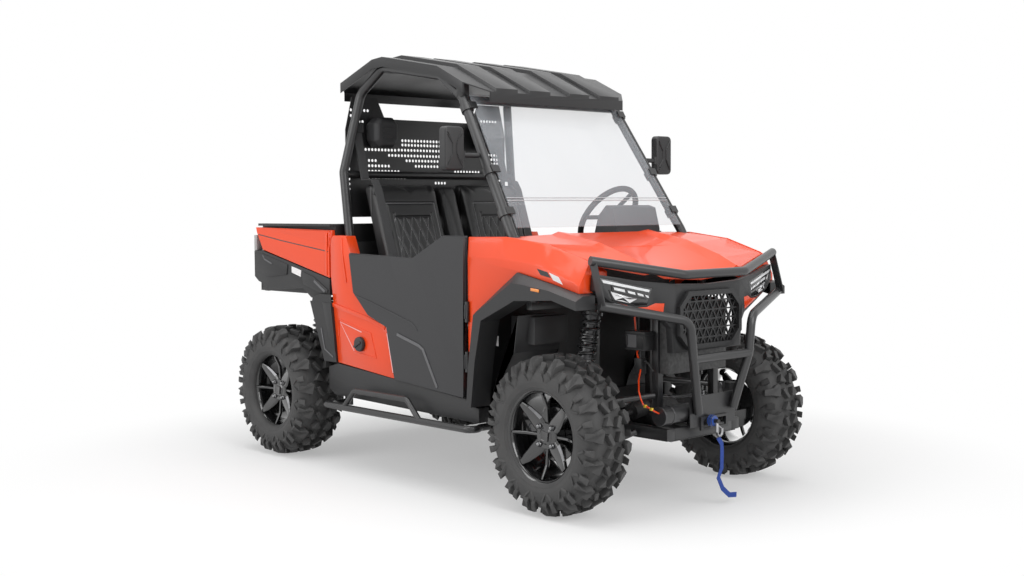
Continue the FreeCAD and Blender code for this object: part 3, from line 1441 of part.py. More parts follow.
def bumper():
    """The tubular front guard: top bar, side tubes, cross bar, brackets and the winch tray."""
    end, top_bend = guard_point(guard_top_end), guard_point(guard_top_bend)
    start, knee = guard_point(guard_side_start), guard_point(guard_knee)
    cross, foot = guard_point(guard_cross), guard_point(guard_foot)
    opposite = [at(point.x, -point.y, point.z) for point in (top_bend, end)]
    top = tube([end, top_bend] + opposite, guard_radius, guard_bend)
    side = tube([start, knee, cross, foot], guard_radius, guard_bend)
    bar = rod(at(cross.x, -cross.y, cross.z), cross, guard_radius)
    share = (end.y - start.y) / (end.y - top_bend.y)
    meet = end + (top_bend - end) * share
    plate_outline = [(meet.x - bracket_half, meet.z), (meet.x + bracket_half, meet.z),
                     (start.x + 2 * bracket_half, start.z), (start.x, start.z)]
    plate = side_prism(plate_outline, start.y - bracket_thick / 2, start.y + bracket_thick / 2)
    front_x = overall_length / 2 - tray_front_back
    tray_low = frame_bottom + rail_size + seat_gap
    bottom = block(overall_length / 2 - tray_rear_back, front_x, -tray_half, tray_half, tray_low,
                   tray_low + tray_thick)
    wall = block(front_x - tray_thick, front_x, -tray_half, tray_half, tray_low, tray_top)
    slot = block(front_x - overrun, front_x + overrun, -drum_half, drum_half, fairlead_low + overrun,
                 fairlead_high)
    save("bumper", [weld([top, side, mirror(side), bar, plate, mirror(plate), bottom, wall]).cut(slot)])


def winch():
    """The winch on its tray: drum, motor and gear housing, with the fairlead on the wall's face."""
    x = overall_length / 2 - winch_setback
    feet_z = frame_bottom + rail_size + tray_thick + 2 * seat_gap
    drum = rod(at(x, -drum_half, winch_height), at(x, drum_half, winch_height), drum_radius)
    motor = rod(at(x, -winch_motor_end, winch_height), at(x, -drum_half, winch_height), winch_end_radius)
    gear = rod(at(x, drum_half, winch_height), at(x, winch_gear_end, winch_height), winch_end_radius)
    feet = [block(x - drum_radius / 2, x + drum_radius / 2, side * drum_half, side * (drum_half + overrun), feet_z,
                  winch_height) for side in (-1, 1)]
    face_x = overall_length / 2 - tray_front_back + seat_gap
    plate = block(face_x, face_x + fairlead_thick, -fairlead_half, fairlead_half, fairlead_low, fairlead_high)
    mouth = block(face_x - overrun, face_x + overrun, -drum_half, drum_half, fairlead_low + fairlead_thick,
                  fairlead_high - fairlead_thick)
    stop_x = face_x + fairlead_thick + seat_gap
    stop = rod(at(stop_x, stop_y, stop_z), at(stop_x + stop_length, stop_y, stop_z), stop_radius)
    hook_x = stop_x + stop_length + hook_out
    shank = rod(at(stop_x + stop_length / 2, stop_y, stop_z), at(hook_x + shank_radius, stop_y, stop_z), shank_radius)
    tip_y = stop_y + hook_width
    hook = tube([at(hook_x, stop_y, stop_z), at(hook_x, stop_y, hook_low), at(hook_x, tip_y, hook_low),
                 at(hook_x, tip_y, hook_tip)], hook_radius, hook_bend)
    save("winch", [weld([drum, motor, gear] + feet), plate.cut(mouth), weld([stop, shank, hook])])
    strap_x = hook_x - hook_radius - seat_gap - strap_thick
    save("winch_strap", [front_prism(ribbon(strap_places, strap_half), strap_x, strap_x + strap_thick)])


# Mirrors, steering linkage, exhaust and hitch
mirror_share = 0.730
mirror_setback = 10.0
mirror_width = 110.0
mirror_x = station_x(mirror_share)
mirror_inner_y = cab_half_width - mirror_setback
mirror_outer_y = mirror_inner_y + mirror_width
mirror_low = 1413.0
mirror_high = 1602.0
mirror_thick = 42.0
mirror_arm_radius = 12.0
mirror_arm_z = 1480.0
eye_radius = 14.0
muffler_radius = 55.0
muffler_z = 560.0
pipe_radius = 22.0
pipe_length = 110.0


def mirrors():
    """Two mirrors on short arms from the front pillars."""
    line = cage_line()
    low, high = line[2], line[3]
    share = (mirror_arm_z - low.z) / (high.z - low.z)
    mount = low + (high - low) * share
    housing = block(mirror_x - mirror_thick / 2, mirror_x + mirror_thick / 2, mirror_inner_y, mirror_outer_y,
                    mirror_low, mirror_high)
    start = at(mount.x, mount.y + cage_radius + seat_gap, mount.z)
    arm = rod(start, at(mirror_x, mirror_inner_y + mirror_thick, mirror_arm_z), mirror_arm_radius)
    arm = arm.cut(tube(line, cage_radius + seat_gap, cage_bend))
    save("mirrors", both([weld([housing, arm])]))


def steering_linkage():
    """The rack and its two tie rods in one bar, which slides across the chassis."""
    x = front_axle_x - steer_arm_length
    arm_top = axle_height + steer_arm_width + steer_arm_height
    z = arm_top + seat_gap + tie_eye_half
    bar = rod(at(x, -kingpin_y, z), at(x, kingpin_y, z), tie_rod_radius)
    rack = rod(at(x, -rail_half_gap, z), at(x, rail_half_gap, z), rack_radius)
    eyes = [rod(at(x, side * kingpin_y, z - tie_eye_half), at(x, side * kingpin_y, z + tie_eye_half), eye_radius)
            for side in (-1, 1)]
    save("tie_rods", [weld([bar, rack] + eyes)])


def rear_fittings():
    """The silencer between the rear posts, with its tail pipe."""
    half = tower_half_width - tower_tube - seat_gap
    can = rod(at(rear_tower_rear_x, -half, muffler_z), at(rear_tower_rear_x, half, muffler_z), muffler_radius)
    pipe = rod(at(rear_tower_rear_x, -half / 2, muffler_z),
               at(rear_tower_rear_x - pipe_length, -half / 2, muffler_z), pipe_radius)
    save("exhaust", [weld([can, pipe])])


def main():
    wheels()
    frame_rails()
    towers()
    suspension()
    shocks()
    drivetrain()
    doors()
    cab_floor()
    step_bars()
    roll_cage()
    roof()
    windscreen()
    screen_and_headrests()
    seats()
    seat_belts()
    cockpit()
    hood()
    fenders()
    flares()
    rear_panels()
    liners_and_boxes()
    cargo_bed()
    nose()
    grille()
    bumper()
    winch()
    mirrors()
    steering_linkage()
    rear_fittings()


main()
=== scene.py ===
# %% [markdown]
# # A side by side utility vehicle
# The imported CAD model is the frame. Each cell below dresses one part of it: first the camera and studio,
# then the finishes, then the pieces that need softer or finer forms than the solids have.

# %% Load the frame
import json
import math
import bmesh
import bpy
from mathutils import Matrix, Vector


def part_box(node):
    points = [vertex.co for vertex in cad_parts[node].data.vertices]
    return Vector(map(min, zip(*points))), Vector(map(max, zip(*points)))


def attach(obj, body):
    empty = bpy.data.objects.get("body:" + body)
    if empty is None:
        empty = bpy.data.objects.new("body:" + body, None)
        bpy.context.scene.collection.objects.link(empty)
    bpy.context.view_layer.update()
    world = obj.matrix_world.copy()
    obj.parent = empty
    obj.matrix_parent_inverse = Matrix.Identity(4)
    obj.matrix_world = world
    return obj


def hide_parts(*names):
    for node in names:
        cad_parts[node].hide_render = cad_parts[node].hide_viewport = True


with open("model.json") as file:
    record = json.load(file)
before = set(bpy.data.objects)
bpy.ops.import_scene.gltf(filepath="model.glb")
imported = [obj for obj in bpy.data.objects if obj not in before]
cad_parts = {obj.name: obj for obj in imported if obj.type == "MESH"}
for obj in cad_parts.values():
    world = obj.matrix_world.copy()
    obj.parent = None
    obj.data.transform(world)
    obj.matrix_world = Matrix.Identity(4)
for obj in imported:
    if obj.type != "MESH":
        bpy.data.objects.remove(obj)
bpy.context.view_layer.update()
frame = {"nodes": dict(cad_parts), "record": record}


def linked(name, data):
    """A new object in the scene's own collection."""
    made = bpy.data.objects.new(name, data)
    bpy.context.scene.collection.objects.link(made)
    return made


# %% [markdown]
# The camera stands at the photograph's viewing angle: off the right front corner, about chest high, looking
# slightly down. Its turn is built from three plain rotations, so each number has one meaning.

# %% Camera
camera_data = bpy.data.cameras.new("camera")
camera_data.sensor_width = 36
camera_data.lens = 46.18
camera = linked("camera", camera_data)
heading, dip, roll = (math.radians(degrees) for degrees in (46.94, 3.514, -0.383))
level = math.pi / 2
camera_place = Matrix.Translation((4.6974, -4.3458, 1.2547))
camera.matrix_world = (camera_place @ Matrix.Rotation(heading, 4, "Z") @ Matrix.Rotation(level - dip, 4, "X")
                       @ Matrix.Rotation(roll, 4, "Z"))
bpy.context.scene.camera = camera
bpy.context.scene.view_settings.view_transform = "Standard"
print("camera ready")

# %% [markdown]
# Shader maths reads best as plain expressions. A small class wraps a node socket, so that `a * 2 + b` adds
# the Math nodes for us. A comparison gives 1 where it holds and 0 elsewhere, which makes masks.

# %% Shader maths
class Value:
    """One output socket that can be added, multiplied and compared."""

    def __init__(self, nodes, socket):
        self.nodes, self.socket = nodes, socket

    def math(self, operation, *others):
        return self.nodes.node("Math", {"operation": operation}, dict(enumerate((self,) + others)))

    def __add__(self, other):
        return self.math("ADD", other)

    def __sub__(self, other):
        return self.math("SUBTRACT", other)

    def __mul__(self, other):
        return self.math("MULTIPLY", other)

    def __lt__(self, other):
        return self.math("LESS_THAN", other)

    def __gt__(self, other):
        return self.math("GREATER_THAN", other)

    def __rsub__(self, other):
        return (self * -1) + other

    def abs(self):
        return self.math("ABSOLUTE")

    def smooth(self, low, high):
        """0 below low, 1 above high, and a soft step between."""
        return self.nodes.node("MapRange", {"interpolation_type": "SMOOTHSTEP"},
                               {"Value": self, "From Min": low, "From Max": high})


print("shader maths ready")

# %% [markdown]
# One method adds any node from its type, settings and inputs. A finish is a node tree around the Principled
# shader, with a few short words for what nearly every surface needs: coordinates, noise, a mix and a bump.

# %% A material builder
class Nodes:
    """A node tree that grows by one method."""

    def __init__(self, tree):
        self.tree = tree

    def connect(self, target, value):
        """Links a value to a socket, or types a number or colour into it."""
        if isinstance(value, Value):
            self.tree.links.new(value.socket, target)
        else:
            target.default_value = value

    def node(self, kind, settings=None, inputs=None, out=0):
        """Any shader node: its settings first, then values or links for its sockets."""
        made = self.tree.nodes.new("ShaderNode" + kind)
        for key, value in (settings or {}).items():
            setattr(made, key, value)
        for key, value in (inputs or {}).items():
            self.connect(made.inputs[key], value)
        return Value(self, made.outputs[out])

    def direct_ray(self):
        """1 for a ray from the camera, off a shiny surface or through a pane, and 0 for all others."""
        rays = [self.node("LightPath", out=f"Is {kind} Ray") for kind in ("Camera", "Glossy", "Transmission")]
        return (rays[0] + rays[1] + rays[2]).math("MINIMUM", 1.0)


class Finish(Nodes):
    """A node material around one Principled shader."""

    def __init__(self, name, color, roughness, **sockets):
        self.material = bpy.data.materials.new(name)
        self.material.use_nodes = True
        super().__init__(self.material.node_tree)
        self.shader = self.tree.nodes["Principled BSDF"]
        self.set("Base Color", (*color, 1.0))
        self.set("Roughness", roughness)
        for key, value in sockets.items():
            self.set(key.replace("_", " "), value)

    def set(self, socket, value):
        self.connect(self.shader.inputs[socket], value)

    def coords(self, centre=(0, 0, 0), turn=(0, 0, 0), scale=(1, 1, 1)):
        """Object coordinates in metres, moved so that centre becomes the origin."""
        place = self.node("TexCoord", out="Object")
        return self.node("Mapping", {"vector_type": "TEXTURE"},
                         {"Vector": place, "Location": centre, "Rotation": turn, "Scale": scale})

    def axes(self, vector):
        split = self.node("SeparateXYZ", inputs={0: vector}).socket.node
        return [Value(self, output) for output in split.outputs]

    def noise(self, vector, scale, detail=3.0):
        return self.node("TexNoise", inputs={"Vector": vector, "Scale": scale, "Detail": detail})

    def mix(self, factor, a, b):
        return self.node("Mix", {"data_type": "RGBA"}, {"Factor": factor, 6: a, 7: b}, out=2)

    def bump(self, height, strength, distance=0.001):
        self.set("Normal", self.node("Bump", inputs={"Height": height, "Strength": strength,
                                                     "Distance": distance}))


print("builder ready")

# %% [markdown]
# The floor is pale and matt and keeps the soft shadow. Further out it fades into plain white, which the
# camera also sees in the world behind, so no horizon shows. Large soft lamps keep colours about as they are
# written.

# %% Studio
floor_mesh = bmesh.new()
bmesh.ops.create_grid(floor_mesh, x_segments=2, y_segments=2, size=30.0)
floor_data = bpy.data.meshes.new("floor")
floor_mesh.to_mesh(floor_data)
floor_mesh.free()
floor = linked("floor", floor_data)
floor.location.z = -0.001
ground = Finish("studio_floor", (0.86, 0.86, 0.86), 0.9)
distance = ground.node("VectorMath", {"operation": "LENGTH"}, {0: ground.coords()}, out="Value")
white = ground.node("Emission", inputs={"Color": (1, 1, 1, 1), "Strength": 1.0})
shadow_edge, white_edge, near_share = 1.5, 2.7, 0.38
white_share = distance.smooth(shadow_edge, white_edge) * (1 - near_share) + near_share
matt = Value(ground, ground.shader.outputs[0])
blend = ground.node("MixShader", inputs={0: white_share * ground.direct_ray(), 1: matt, 2: white})
ground.connect(ground.tree.nodes["Material Output"].inputs["Surface"], blend)
floor_data.materials.append(ground.material)

world = bpy.data.worlds.new("world")
world.use_nodes = True
bpy.context.scene.world = world
sky = Nodes(world.node_tree)
background = sky.tree.nodes["Background"]
sky.connect(background.inputs["Color"], (1, 1, 1, 1))
fill_light_share = 0.36
sky.connect(background.inputs["Strength"], sky.direct_ray() * (1 - fill_light_share) + fill_light_share)


def lamp(name, place, aim, size, power):
    """A square soft box that points at aim."""
    data = bpy.data.lights.new(name, "AREA")
    data.shape = "RECTANGLE"
    data.size, data.size_y = size
    data.energy = power
    made = linked(name, data)
    made.location = place
    made.rotation_euler = (Vector(aim) - Vector(place)).to_track_quat("-Z", "Y").to_euler()


lamp("top_box", (0.2, -0.6, 4.6), (0.0, 0.0, 0.5), (4.5, 4.0), 150)
lamp("front_box", (5.0, -0.5, 3.0), (0.4, 0.0, 0.8), (3.0, 3.0), 110)
lamp("side_box", (-0.8, -5.0, 2.6), (0.0, 0.0, 0.7), (4.0, 2.5), 85)
print("studio ready")

# %% [markdown]
# ## Finishes
# Most smooth surfaces aren't quite flat: moulded plastic has a faint ripple, and powder coat looks like
# orange peel. One helper makes them all, from a noise that is turned into a bump. The coloured panels are
# glossy and moulded right through. A clear coat on the shader gives the sharp reflection over the softer
# one of the colour.

# %% Smooth finishes
def rippled(name, color, rough, scale, strength, distance=0.001, detail=3.0, **sockets):
    """A finish whose surface has an even ripple."""
    made = Finish(name, color, rough, **sockets)
    made.bump(made.noise(made.coords(), scale, detail), strength, distance)
    return made


def film(name, color, rough=0.3, strength=0.02):
    """Thin plastic film, as stripes and labels are cut from."""
    return rippled(name, color, rough, 25.0, strength, Coat_Weight=0.4)


red_panel = rippled("red_panel", (0.82, 0.060, 0.004), 0.38, 18.0, 0.05, 0.002, 2.0,
                    Coat_Weight=0.35, Coat_Roughness=0.08, IOR=1.46)
lens_grey = Finish("lens_grey", (0.35, 0.33, 0.33), 0.12, Coat_Weight=1.0)
lamp_dark = rippled("lamp_dark", (0.012, 0.012, 0.013), 0.14, 35.0, 0.03, Coat_Weight=1.0)
white_film = film("white_film", (0.86, 0.84, 0.84))
pink_film = film("pink_film", (0.86, 0.47, 0.47))
black_film = film("black_film", (0.012, 0.012, 0.013), 0.32)
blue_film = film("blue_film", (0.02, 0.07, 0.32), 0.35, 0.03)
tag_yellow = rippled("tag_yellow", (0.75, 0.52, 0.04), 0.4, 60.0, 0.1, Coat_Weight=0.3)
joint_grey = rippled("joint_grey", (0.50, 0.51, 0.52), 0.3, 60.0, 0.05, Coat_Weight=0.4)
print("smooth finishes ready")

# %% [markdown]
# The black mouldings have a fine leather-like grain. The grain is a cell pattern turned into a bump, a
# millimetre or two across, and the roughness wanders a little, so that the light breaks up as it does on
# the real plastic.

# %% Grained plastics
def grained(name, color, rough, grain=900.0, depth=0.25, patch=0.06):
    made = Finish(name, color, rough, IOR=1.5)
    place = made.coords()
    pores = made.node("TexVoronoi", {"feature": "SMOOTH_F1"}, {"Vector": place, "Scale": grain})
    wear = made.noise(place, 6.0, 4.0)
    made.set("Roughness", wear * (2 * patch) + (rough - patch))
    made.bump(pores, depth, 0.0006)
    return made


black_moulding = grained("black_moulding", (0.016, 0.016, 0.017), 0.5)
door_moulding = grained("door_moulding", (0.022, 0.022, 0.024), 0.42, 700.0)
roof_moulding = grained("roof_moulding", (0.013, 0.013, 0.014), 0.33, 500.0)
# The wheel liners' black plastic is lighter than the other mouldings: painted fill light for the shaded wheel
# wells.
liner_painted_fill = grained("liner_painted_fill", (0.045, 0.045, 0.047), 0.45, 500.0)
dash_moulding = grained("dash_moulding", (0.03, 0.03, 0.032), 0.6, 800.0)
trim_grey = grained("trim_grey", (0.11, 0.11, 0.115), 0.42, 600.0)
soft_rubber = grained("soft_rubber", (0.02, 0.02, 0.02), 0.7, 600.0)
vinyl = grained("vinyl", (0.02, 0.02, 0.021), 0.42, 420.0, 0.35, 0.08)
print("plastics ready")

# %% [markdown]
# The frame tubes are powder coated: satin black with a slight orange peel. Bare steel shows fine scratches
# along the piece, and cast parts are rough and blotchy.

# %% Metals
def coated_steel(name, color, rough):
    return rippled(name, color, rough, 260.0, 0.12, 0.0006, 2.0, Coat_Weight=0.25, Coat_Roughness=0.25)


frame_black = coated_steel("frame_black", (0.018, 0.018, 0.019), 0.38)
shock_black = coated_steel("shock_black", (0.03, 0.03, 0.032), 0.3)
spring_black = coated_steel("spring_black", (0.02, 0.02, 0.021), 0.26)
wheel_black = rippled("wheel_black", (0.008, 0.008, 0.0085), 0.16, 40.0, 0.03, 0.001, 2.0,
                      Coat_Weight=1.0, Coat_Roughness=0.04)
chrome = rippled("chrome", (0.75, 0.75, 0.76), 0.12, 30.0, 0.02, Metallic=1.0)
dark_chrome = rippled("dark_chrome", (0.22, 0.22, 0.225), 0.16, 30.0, 0.02, Metallic=1.0)
# A dull grey metal for the thin strips on two wheel spokes: a painted highlight for the lamps' reflection on
# those chamfers.
painted_glint = rippled("painted_glint", (0.15, 0.15, 0.155), 0.28, 900.0, 0.1, 0.0004, Metallic=0.9)
mirror_glass = rippled("mirror_glass", (0.7, 0.72, 0.74), 0.03, 4.0, 0.01, Metallic=1.0)

bare_steel = Finish("bare_steel", (0.42, 0.42, 0.43), 0.3, Metallic=1.0)
scratch = bare_steel.noise(bare_steel.coords(scale=(0.02, 1.0, 1.0)), 60.0, 4.0)
bare_steel.set("Roughness", scratch * 0.25 + 0.2)
bare_steel.bump(scratch, 0.08, 0.0005)

cast_metal = Finish("cast_metal", (0.06, 0.06, 0.062), 0.6, Metallic=0.4)
blotch = cast_metal.noise(cast_metal.coords(), 70.0, 5.0)
cast_metal.set("Base Color", cast_metal.mix(blotch, (0.03, 0.03, 0.031, 1), (0.13, 0.13, 0.13, 1)))
cast_metal.bump(blotch, 0.3, 0.001)
print("metals ready")

# %% [markdown]
# Belts and the winch's strap are woven: diagonal waves give the twill. Lamp lenses are moulded with fine
# parallel flutes, which are waves as well. The windscreen is a clear sheet. A low Alpha with a glossy skin
# shows what is behind it and still catches the lamps, and costs far less time than real refraction.

# %% Waves and clear plastics
def waved(name, color, rough, way, scale, strength, distance, distortion=0.0, **sockets):
    """A finish with fine parallel waves."""
    made = Finish(name, color, rough, **sockets)
    waves = made.node("TexWave", {"bands_direction": way},
                      {"Vector": made.coords(), "Scale": scale, "Distortion": distortion})
    made.bump(waves, strength, distance)
    return made


webbing = waved("webbing", (0.06, 0.06, 0.062), 0.8, "DIAGONAL", 260.0, 0.6, 0.0006, 1.0)
blue_webbing = waved("blue_webbing", (0.02, 0.06, 0.30), 0.75, "DIAGONAL", 260.0, 0.6, 0.0006, 1.0)
amber_lens = waved("amber_lens", (0.85, 0.25, 0.01), 0.12, "X", 90.0, 0.4, 0.001, Coat_Weight=1.0)
lamp_white = waved("lamp_white", (0.80, 0.81, 0.82), 0.18, "Z", 120.0, 0.3, 0.001, Coat_Weight=1.0)
clear_sheet = Finish("clear_sheet", (0.55, 0.58, 0.62), 0.04, IOR=1.5)
haze = clear_sheet.noise(clear_sheet.coords(), 2.0, 3.0)
clear_sheet.set("Alpha", haze * 0.08 + 0.16)
print("finishes ready", len(bpy.data.materials))

# %% [markdown]
# ## Softening the panels
# Real mouldings have no razor edges. A copy of a solid's mesh is merged, its flat faces are joined, and its
# sharp edges get a small bevel, so that the light runs along them. The copy then stands for the solid.

# %% Adding a piece
record_slots = {part["node"]: part["material_slot"] for part in frame["record"]["subparts"]}
body_of_node = {}
for body_name, members in frame["record"]["behaviour"]["bodies"].items():
    for member in members:
        body_of_node[member] = body_name


def add_piece(name, mesh, finish, body, slot_name, *replaced):
    """A mesh with its finish, riding on a body and standing for the solids that it replaces."""
    data = bpy.data.meshes.new(name)
    mesh.to_mesh(data)
    mesh.free()
    made = linked(name, data)
    data.materials.append(finish.material)
    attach(made, body)
    if replaced:
        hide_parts(*replaced)
    return made


def flipped(mesh):
    """A copy on the other side of the vehicle."""
    other = mesh.copy()
    bmesh.ops.scale(other, vec=(1, -1, 1), verts=other.verts)
    bmesh.ops.reverse_faces(other, faces=other.faces)
    return other


def add_pair(name, mesh, finish, body, slot_name, *replaced, side="right"):
    """The mesh of one side and its mirror image, as two pieces. SIDE in a name becomes left or right."""
    other = "left" if side == "right" else "right"
    pieces = []
    for which, shape in ((other, flipped(mesh)), (side, mesh)):
        name_here, body_here, *nodes = [text.replace("SIDE", which) for text in (name, body, *replaced)]
        pieces.append(add_piece(name_here, shape, finish, body_here, slot_name, *nodes))
    return pieces


print(len(record_slots), "solids in the record")

# %% [markdown]
# Three small helpers finish nearly every mesh: one merges doubles and turns the faces outwards, one bevels
# the sharp edges, and one shades everything smooth but for the edges that stay sharp.

# %% Moulded copies
def mark_sharp(mesh, degrees=32.0):
    """Smooth shading, broken at the edges that are sharper than an angle."""
    limit = math.radians(degrees)
    for face in mesh.faces:
        face.smooth = True
    for edge in mesh.edges:
        edge.smooth = len(edge.link_faces) == 2 and edge.calc_face_angle() < limit
    return mesh


def healed(mesh):
    """The same mesh with its doubles merged and its faces turned outwards."""
    bmesh.ops.remove_doubles(mesh, verts=mesh.verts, dist=0.00001)
    bmesh.ops.recalc_face_normals(mesh, faces=mesh.faces)
    return mesh


def bevelled(mesh, width, segments=1, degrees=30.0, edges=None):
    """The same mesh with a bevel on the edges given, or on all edges that are sharper than an angle."""
    if edges is None:
        limit = math.radians(degrees)
        edges = [edge for edge in mesh.edges if len(edge.link_faces) == 2 and edge.calc_face_angle() > limit]
    bmesh.ops.bevel(mesh, geom=edges, offset=width, segments=segments, profile=0.5, affect="EDGES",
                    clamp_overlap=True, material=-1)
    return mesh


def merged_copy(node, flat=True):
    """The node's triangles with their doubles merged and, if flat, its flat faces joined."""
    mesh = bmesh.new()
    mesh.from_mesh(frame["nodes"][node].data)
    bmesh.ops.remove_doubles(mesh, verts=mesh.verts, dist=0.00002)
    bmesh.ops.dissolve_degenerate(mesh, dist=0.00001, edges=mesh.edges)
    if flat:
        bmesh.ops.dissolve_limit(mesh, angle_limit=math.radians(1.0), verts=mesh.verts, edges=mesh.edges)
    return mesh


def moulded(node, finish, width=0.0):
    """A softened copy of a solid, which stands for it."""
    mesh = merged_copy(node, flat=width > 0)
    if width:
        bevelled(mesh, width, 2, 28.0)
    return add_piece(node + "_dress", mark_sharp(mesh), finish, body_of_node[node], record_slots[node], node)


dressed = [
    (frame_black, 0.003, "chassis_frame"), (frame_black, 0.002, "frame_towers"),
    (frame_black, 0.0, "suspension_arms step_bars roll_cage bumper door_hinges winch screen_clamps"),
    (shock_black, 0.0, "shocks"), (bare_steel, 0.0, "tie_rods exhaust"), (cast_metal, 0.01, "engine"),
    (cast_metal, 0.0, "axle_drives knuckle_front_left knuckle_front_right rear_knuckles"),
    (cast_metal, 0.002, "radiator"), (red_panel, 0.003, "hood front_fenders rear_panels"),
    (red_panel, 0.002, "nose_trims"), (black_moulding, 0.0, "wheel_arches grille"),
    (black_moulding, 0.002, "front_fascia bed_tub"),
    (black_moulding, 0.003, "cab_floor sills bed_skirts tailgate wiring_box fuel_cap"),
    (roof_moulding, 0.004, "roof"), (dash_moulding, 0.004, "dashboard"),
    (liner_painted_fill, 0.003, "wheel_liners"), (clear_sheet, 0.001, "windscreen"),
    (soft_rubber, 0.0, "steering_wheel"), (lens_grey, 0.003, "tail_lamps"), (lamp_dark, 0.002, "headlamps"),
    (webbing, 0.0, "seat_belts"), (blue_webbing, 0.0, "winch_strap")]
for finish, width, nodes in dressed:
    for node in nodes.split():
        moulded(node, finish, width)
print("solids dressed")

# %% [markdown]
# ## Wheels
# Round shapes come from spinning a profile about an axle. Solid bars come from a row of rings that are
# bridged one to the next and capped. These helpers are used for most of the new pieces.

# %% Spinning and bridging
def spun(mesh, profile, centre, steps, axis=(0, 1, 0), closed=True):
    """Spins a run of (radius, out) points once round an axis, and merges what meets on the axis."""
    along = Vector(axis).normalized()
    aside = along.orthogonal().normalized() if abs(along.x) > 0.5 else Vector((1, 0, 0))
    middle = Vector(centre)
    verts = [mesh.verts.new(middle + aside * r + along * out) for r, out in profile]
    pairs = list(zip(verts, verts[1:]))
    if closed:
        pairs.append((verts[-1], verts[0]))
    edges = [mesh.edges.new(pair) for pair in pairs]
    bmesh.ops.spin(mesh, geom=verts + edges, cent=middle, axis=along, dvec=(0, 0, 0), angle=2 * math.pi,
                   steps=steps, use_merge=True)
    bmesh.ops.remove_doubles(mesh, verts=mesh.verts[:], dist=0.00001)


def bridged(mesh, rings):
    """A skin over a row of rings of points, each ring bridged to the next, with caps at both ends."""
    loops = []
    for points in rings:
        verts = [mesh.verts.new(point) for point in points]
        loops.append([mesh.edges.new((a, b)) for a, b in zip(verts, verts[1:] + verts[:1])])
    for first, second in zip(loops, loops[1:]):
        bmesh.ops.bridge_loops(mesh, edges=first + second)
    for loop in (loops[0], loops[-1]):
        bmesh.ops.edgeloop_fill(mesh, edges=loop)
    return mesh


def box_at(mesh, low, high):
    """A box between two corners, for pieces that are bevelled and detailed afterwards."""
    size = Vector(high) - Vector(low)
    place = Matrix.Translation((Vector(low) + Vector(high)) / 2) @ Matrix.Diagonal((*size, 1))
    bmesh.ops.create_cube(mesh, size=1.0, matrix=place)


def joined(mesh, other):
    """Adds a second mesh to the first."""
    data = bpy.data.meshes.new("joined")
    other.to_mesh(data)
    mesh.from_mesh(data)
    other.free()
    bpy.data.meshes.remove(data)


def everything(mesh):
    return mesh.verts[:] + mesh.edges[:] + mesh.faces[:]


def turned(mesh, degrees, centre=(0, 0, 0)):
    """The mesh turned about the Y axis through a centre."""
    turn = Matrix.Rotation(math.radians(degrees), 3, "Y")
    bmesh.ops.rotate(mesh, cent=centre, matrix=turn, verts=mesh.verts)
    return mesh


def moved(mesh, by):
    bmesh.ops.translate(mesh, vec=by, verts=mesh.verts)
    return mesh


def in_metres(points):
    return [tuple(size / 1000 for size in point) for point in points]


print("helpers ready")

# %% [markdown]
# Tyre rubber is dark grey rather than black, with a dusty bloom on the side walls. The side wall's moulded
# rings come from the distance to the axle, which a Mapping node centres on each axle. They fade in and out
# at the two radii between which the wall is ringed. The axles are found from the rims' boxes.

# %% Rubber
def wheel_place(end):
    """The centre of a left wheel, and half of its tyre's width."""
    low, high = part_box(f"rim_{end}_left")
    tyre_low, tyre_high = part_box(f"tyre_{end}_left")
    return (low + high) / 2, (tyre_high.y - tyre_low.y) / 2


wall_inner, wall_outer, wall_fade = 0.200, 0.226, 0.006


def tyre_finish(name, centre):
    made = Finish(name, (0.03, 0.03, 0.031), 0.62, IOR=1.45)
    place = made.coords((centre.x, 0, centre.z))
    x, _, z = made.axes(place)
    radius = (x * x + z * z).math("SQRT")
    rings = (radius * 260.0).math("SINE")
    band = radius.smooth(wall_inner, wall_inner + wall_fade)
    band = band * (1 - radius.smooth(wall_outer, wall_outer + wall_fade))
    dust = made.noise(place, 14.0, 5.0)
    made.set("Base Color", made.mix(dust, (0.030, 0.030, 0.031, 1), (0.075, 0.074, 0.073, 1)))
    made.set("Roughness", dust * 0.2 + 0.52)
    made.bump(rings * band * 0.5 + made.noise(place, 500.0, 2.0) * 0.3, 0.5, 0.0012)
    return made


wheel_places = {end: wheel_place(end) for end in ("front", "rear")}
print("wheels at", wheel_places)

# %% [markdown]
# The tyre's carcass is one spun profile. A lug is drawn as an outline of two numbers: how far along the
# pitch, and how far across from the middle. One table turns the second number into a point on the carcass
# and one at the lug's top, so a lug follows the crown and wraps over the shoulder. One pitch is made,
# bevelled, then spun round as copies. In the table, widths are shares of the tyre's half width and radii
# are in millimetres.

# %% Tyres
tread_table = [(0.0, 0.0, 304, 0.0, 330), (0.35, 0.35, 303, 0.35, 330), (0.62, 0.62, 299, 0.64, 326),
               (0.80, 0.79, 288, 0.86, 316), (0.93, 0.90, 270, 0.99, 298), (1.05, 0.95, 257, 1.02, 276),
               (1.20, 0.975, 240, 1.015, 250), (1.35, 0.99, 226, 1.015, 230)]
shoulder_lug = [(0.05, 0.62), (0.42, 0.50), (0.54, 0.62), (0.42, 0.80), (0.46, 1.04), (0.20, 1.08),
                (0.16, 0.86)]
centre_lugs = [[(0.55, 0.08), (0.88, 0.22), (0.74, 0.34), (0.60, 0.44)],
               [(0.02, 0.06), (0.36, 0.28), (0.29, 0.42), (-0.05, 0.19)]]
edge_lugs = [[(0.62, 0.84), (0.86, 0.84), (0.84, 1.06), (0.66, 1.06)],
             [(0.22, 1.13), (0.30, 1.13), (0.50, 1.32), (0.42, 1.33)],
             [(0.80, 1.13), (0.72, 1.13), (0.56, 1.32), (0.64, 1.33)]]
